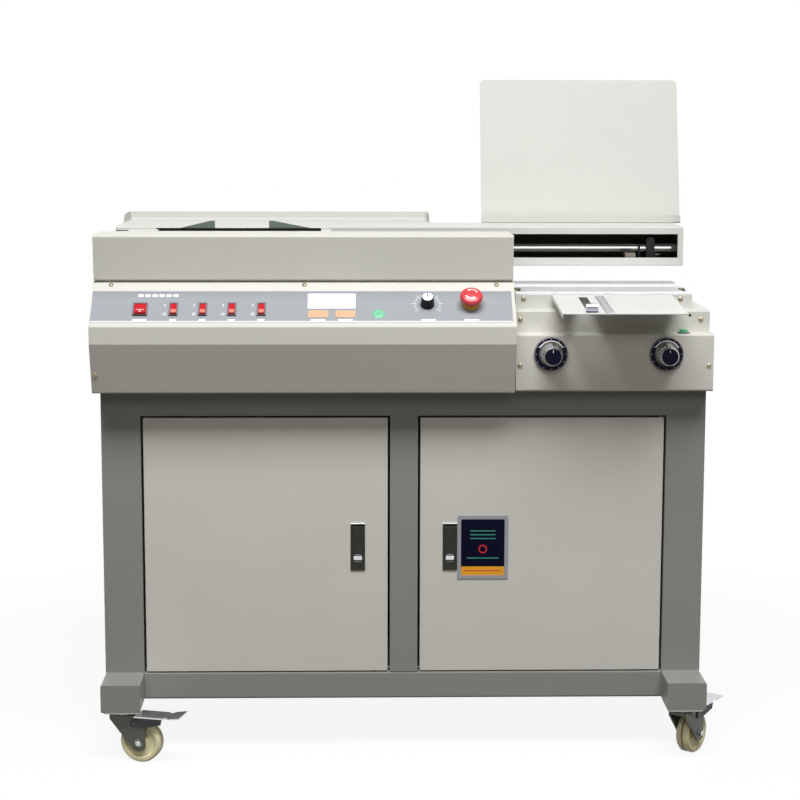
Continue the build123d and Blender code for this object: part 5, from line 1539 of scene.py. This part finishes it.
LAMPS = (
    Lamp("overhead", (0.13, -2.36, 4.87), (0.0, -0.1, 0.75), (4.2, 1.6), 284.0),
    Lamp("front", (0.3, -3.9, 2.5), (0.0, 0.0, 0.35), (2.4, 1.2), 22.0),
    Lamp("rear", (-0.6, 4.2, 1.5), (0.0, 0.3, 0.6), (2.4, 1.6), 48.0, mirrored=False),
)
RAYS_OF_SIGHT = ("Camera", "Glossy", "Transmission")


@dataclass
class Studio:
    """Camera, lamps, floor and world."""

    camera_at: Triple = (-89.269, -3552.298, 1176.704)
    pitch: float = 0.148162
    yaw: float = 0.0230227
    roll: float = 0.00216853
    focal_pixels: float = 2014.898
    picture: float = 800.0
    sensor: float = 36.0
    fill: float = 0.09
    fill_colour: Colour = (1.0, 0.96, 0.88, 1.0)
    floor_reach: float = 14.0
    floor_white: float = 0.9
    shadow_reach: float = 1.2
    cloth_shade: Colour = (0.9, 0.9, 0.9, 1.0)

    def add_object(
        self, name: str, data: bpy.types.ID, axes: Iterable[np.ndarray], at: Iterable[float]
    ) -> bpy.types.Object:
        """Puts a camera or lamp in its place.

        Args:
            name: Its name.
            data: The camera or lamp.
            axes: Its right, upward and backward directions.
            at: Its place in metres.

        Returns:
            The new object.
        """
        item = bpy.data.objects.new(name, data)
        bpy.context.scene.collection.objects.link(item)
        matrix = np.eye(4)
        matrix[:3] = np.column_stack([*axes, at])
        item.matrix_world = Matrix(matrix.tolist())
        return item

    def add_camera(self) -> None:
        """Adds the camera: its forward direction from yaw and pitch, then its roll."""
        cy, sy, cp, sp = math.cos(self.yaw), math.sin(self.yaw), math.cos(self.pitch), math.sin(self.pitch)
        forward, right = np.array([sy * cp, cy * cp, -sp]), np.array([cy, -sy, 0.0])
        up = np.cross(right, forward)
        cr, sr = math.cos(self.roll), math.sin(self.roll)
        data = bpy.data.cameras.new("camera")
        data.sensor_width, data.lens = self.sensor, self.focal_pixels / self.picture * self.sensor
        data.clip_start, data.clip_end = 0.1, 60.0
        axes = (cr * right + sr * up, cr * up - sr * right, -forward)
        bpy.context.scene.camera = self.add_object("camera", data, axes, in_frame(self.camera_at))

    def add_lamp(self, lamp: Lamp) -> None:
        """Adds a lamp that looks from its place at its aim.

        Args:
            lamp: Its sizes.
        """
        data = bpy.data.lights.new(lamp.name, "AREA")
        data.shape, data.energy = "RECTANGLE", lamp.power
        data.size, data.size_y = lamp.size
        back = np.array(lamp.at) - np.array(lamp.aim)
        back = back / np.linalg.norm(back)
        side = np.cross([0.0, 1.0, 0.0] if abs(back[1]) < 0.9 else [0.0, 0.0, 1.0], back)
        side = side / np.linalg.norm(side)
        item = self.add_object(lamp.name, data, (side, np.cross(back, side), back), lamp.at)
        item.visible_glossy = lamp.mirrored

    def seen_white(self, shader: Shader) -> Value:
        """Gives 1 for rays that come from the camera, or by way of metal or glass."""
        rays = [shader.node("ShaderNodeLightPath", {}, {}, f"Is {kind} Ray") for kind in RAYS_OF_SIGHT]
        return rays[0].larger(rays[1]).larger(rays[2])

    def add_floor(self) -> None:
        """Adds a wide pale floor: white where it is seen, but for the object's soft shadow."""
        mesh, half = bpy.data.meshes.new("floor"), self.floor_reach
        corners = [(-half, -half, 0), (half, -half, 0), (half, half, 0), (-half, half, 0)]
        mesh.from_pydata(corners, [], [(0, 1, 2, 3)])
        shader = Shader("floor")
        seen = self.seen_white(shader)
        cloth = shader.mix(Tone.FLOOR.linear(), self.cloth_shade, shader.noise(0.4, 2.0) * 0.02)
        colour = shader.mix(Tone.FLOOR_BOUNCE.linear(), cloth, seen)
        matt = shader.node("ShaderNodeBsdfDiffuse", {}, {"Color": colour})
        white = shader.node("ShaderNodeEmission", {}, {"Color": PURE_WHITE, "Strength": 1.0})
        away = shader.place() * (1.0, 1.0, 0.0)
        far = ((away.dot(away) - self.shadow_reach) / self.shadow_reach).clamped()
        share = seen * (far * (1.0 - self.floor_white) + self.floor_white)
        both = shader.node("ShaderNodeMixShader", {}, {0: share, 1: matt, 2: white})
        shader.node("ShaderNodeOutputMaterial", {}, {"Surface": both})
        mesh.materials.append(shader.material)
        floor = bpy.data.objects.new("floor", mesh)
        bpy.context.scene.collection.objects.link(floor)

    def add_world(self) -> None:
        """Adds an even, slightly warm world that fills the shadows and shows white behind the object."""
        world = bpy.data.worlds.new("studio")
        bpy.context.scene.world = world
        shader = Shader("studio", world)
        fill = shader.node("ShaderNodeBackground", {}, {"Color": self.fill_colour, "Strength": self.fill})
        white = shader.node("ShaderNodeBackground", {}, {"Color": PURE_WHITE, "Strength": 1.0})
        mixed = shader.node("ShaderNodeMixShader", {}, {0: self.seen_white(shader), 1: fill, 2: white})
        shader.node("ShaderNodeOutputWorld", {}, {"Surface": mixed})

    def build(self) -> None:
        """Adds the whole studio."""
        self.add_camera()
        self.add_floor()
        self.add_world()
        for lamp in LAMPS:
            self.add_lamp(lamp)
        bpy.context.scene.view_settings.view_transform = "Standard"


def dress_nodes() -> None:
    """Gives every CAD node its finish."""
    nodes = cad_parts
    for finish, names in NODE_FINISHES.items():
        for name in names:
            mesh = nodes[name].data
            mesh.materials.clear()
            mesh.materials.append(finish.material())
    bare = set(nodes) - {name for names in NODE_FINISHES.values() for name in names}
    if bare:
        raise ValueError(f"no finish for {sorted(bare)}")
    LOG.info("dressed %d nodes", len(nodes))


CASTERS = (
    Caster("front_left", (-504.0, -45.0), -15.0, brake=True),
    Caster("front_right", (504.0, -45.0), 53.0, brake=True),
    Caster("rear_left", (-504.0, 440.0), -30.0),
    Caster("rear_right", (504.0, 440.0), 160.0),
)


def main() -> None:
    """Builds the finishes, the added pieces and the studio."""
    logging.basicConfig(level=logging.INFO)
    dress_nodes()
    parts = [ControlPanel(), PositionDials(), CoverTable(), DoorFittings(), GuideBeam(), NipStation()]
    for part in (*parts, GluePot(), ClampTrim(), HoodTrim(), CabinetTrim(), *CASTERS):
        part.build()
    for caster in CASTERS:
        if caster.brake:
            caster.add_pedal()
    Studio().build()
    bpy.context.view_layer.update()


if __name__ == "__main__":
    main()
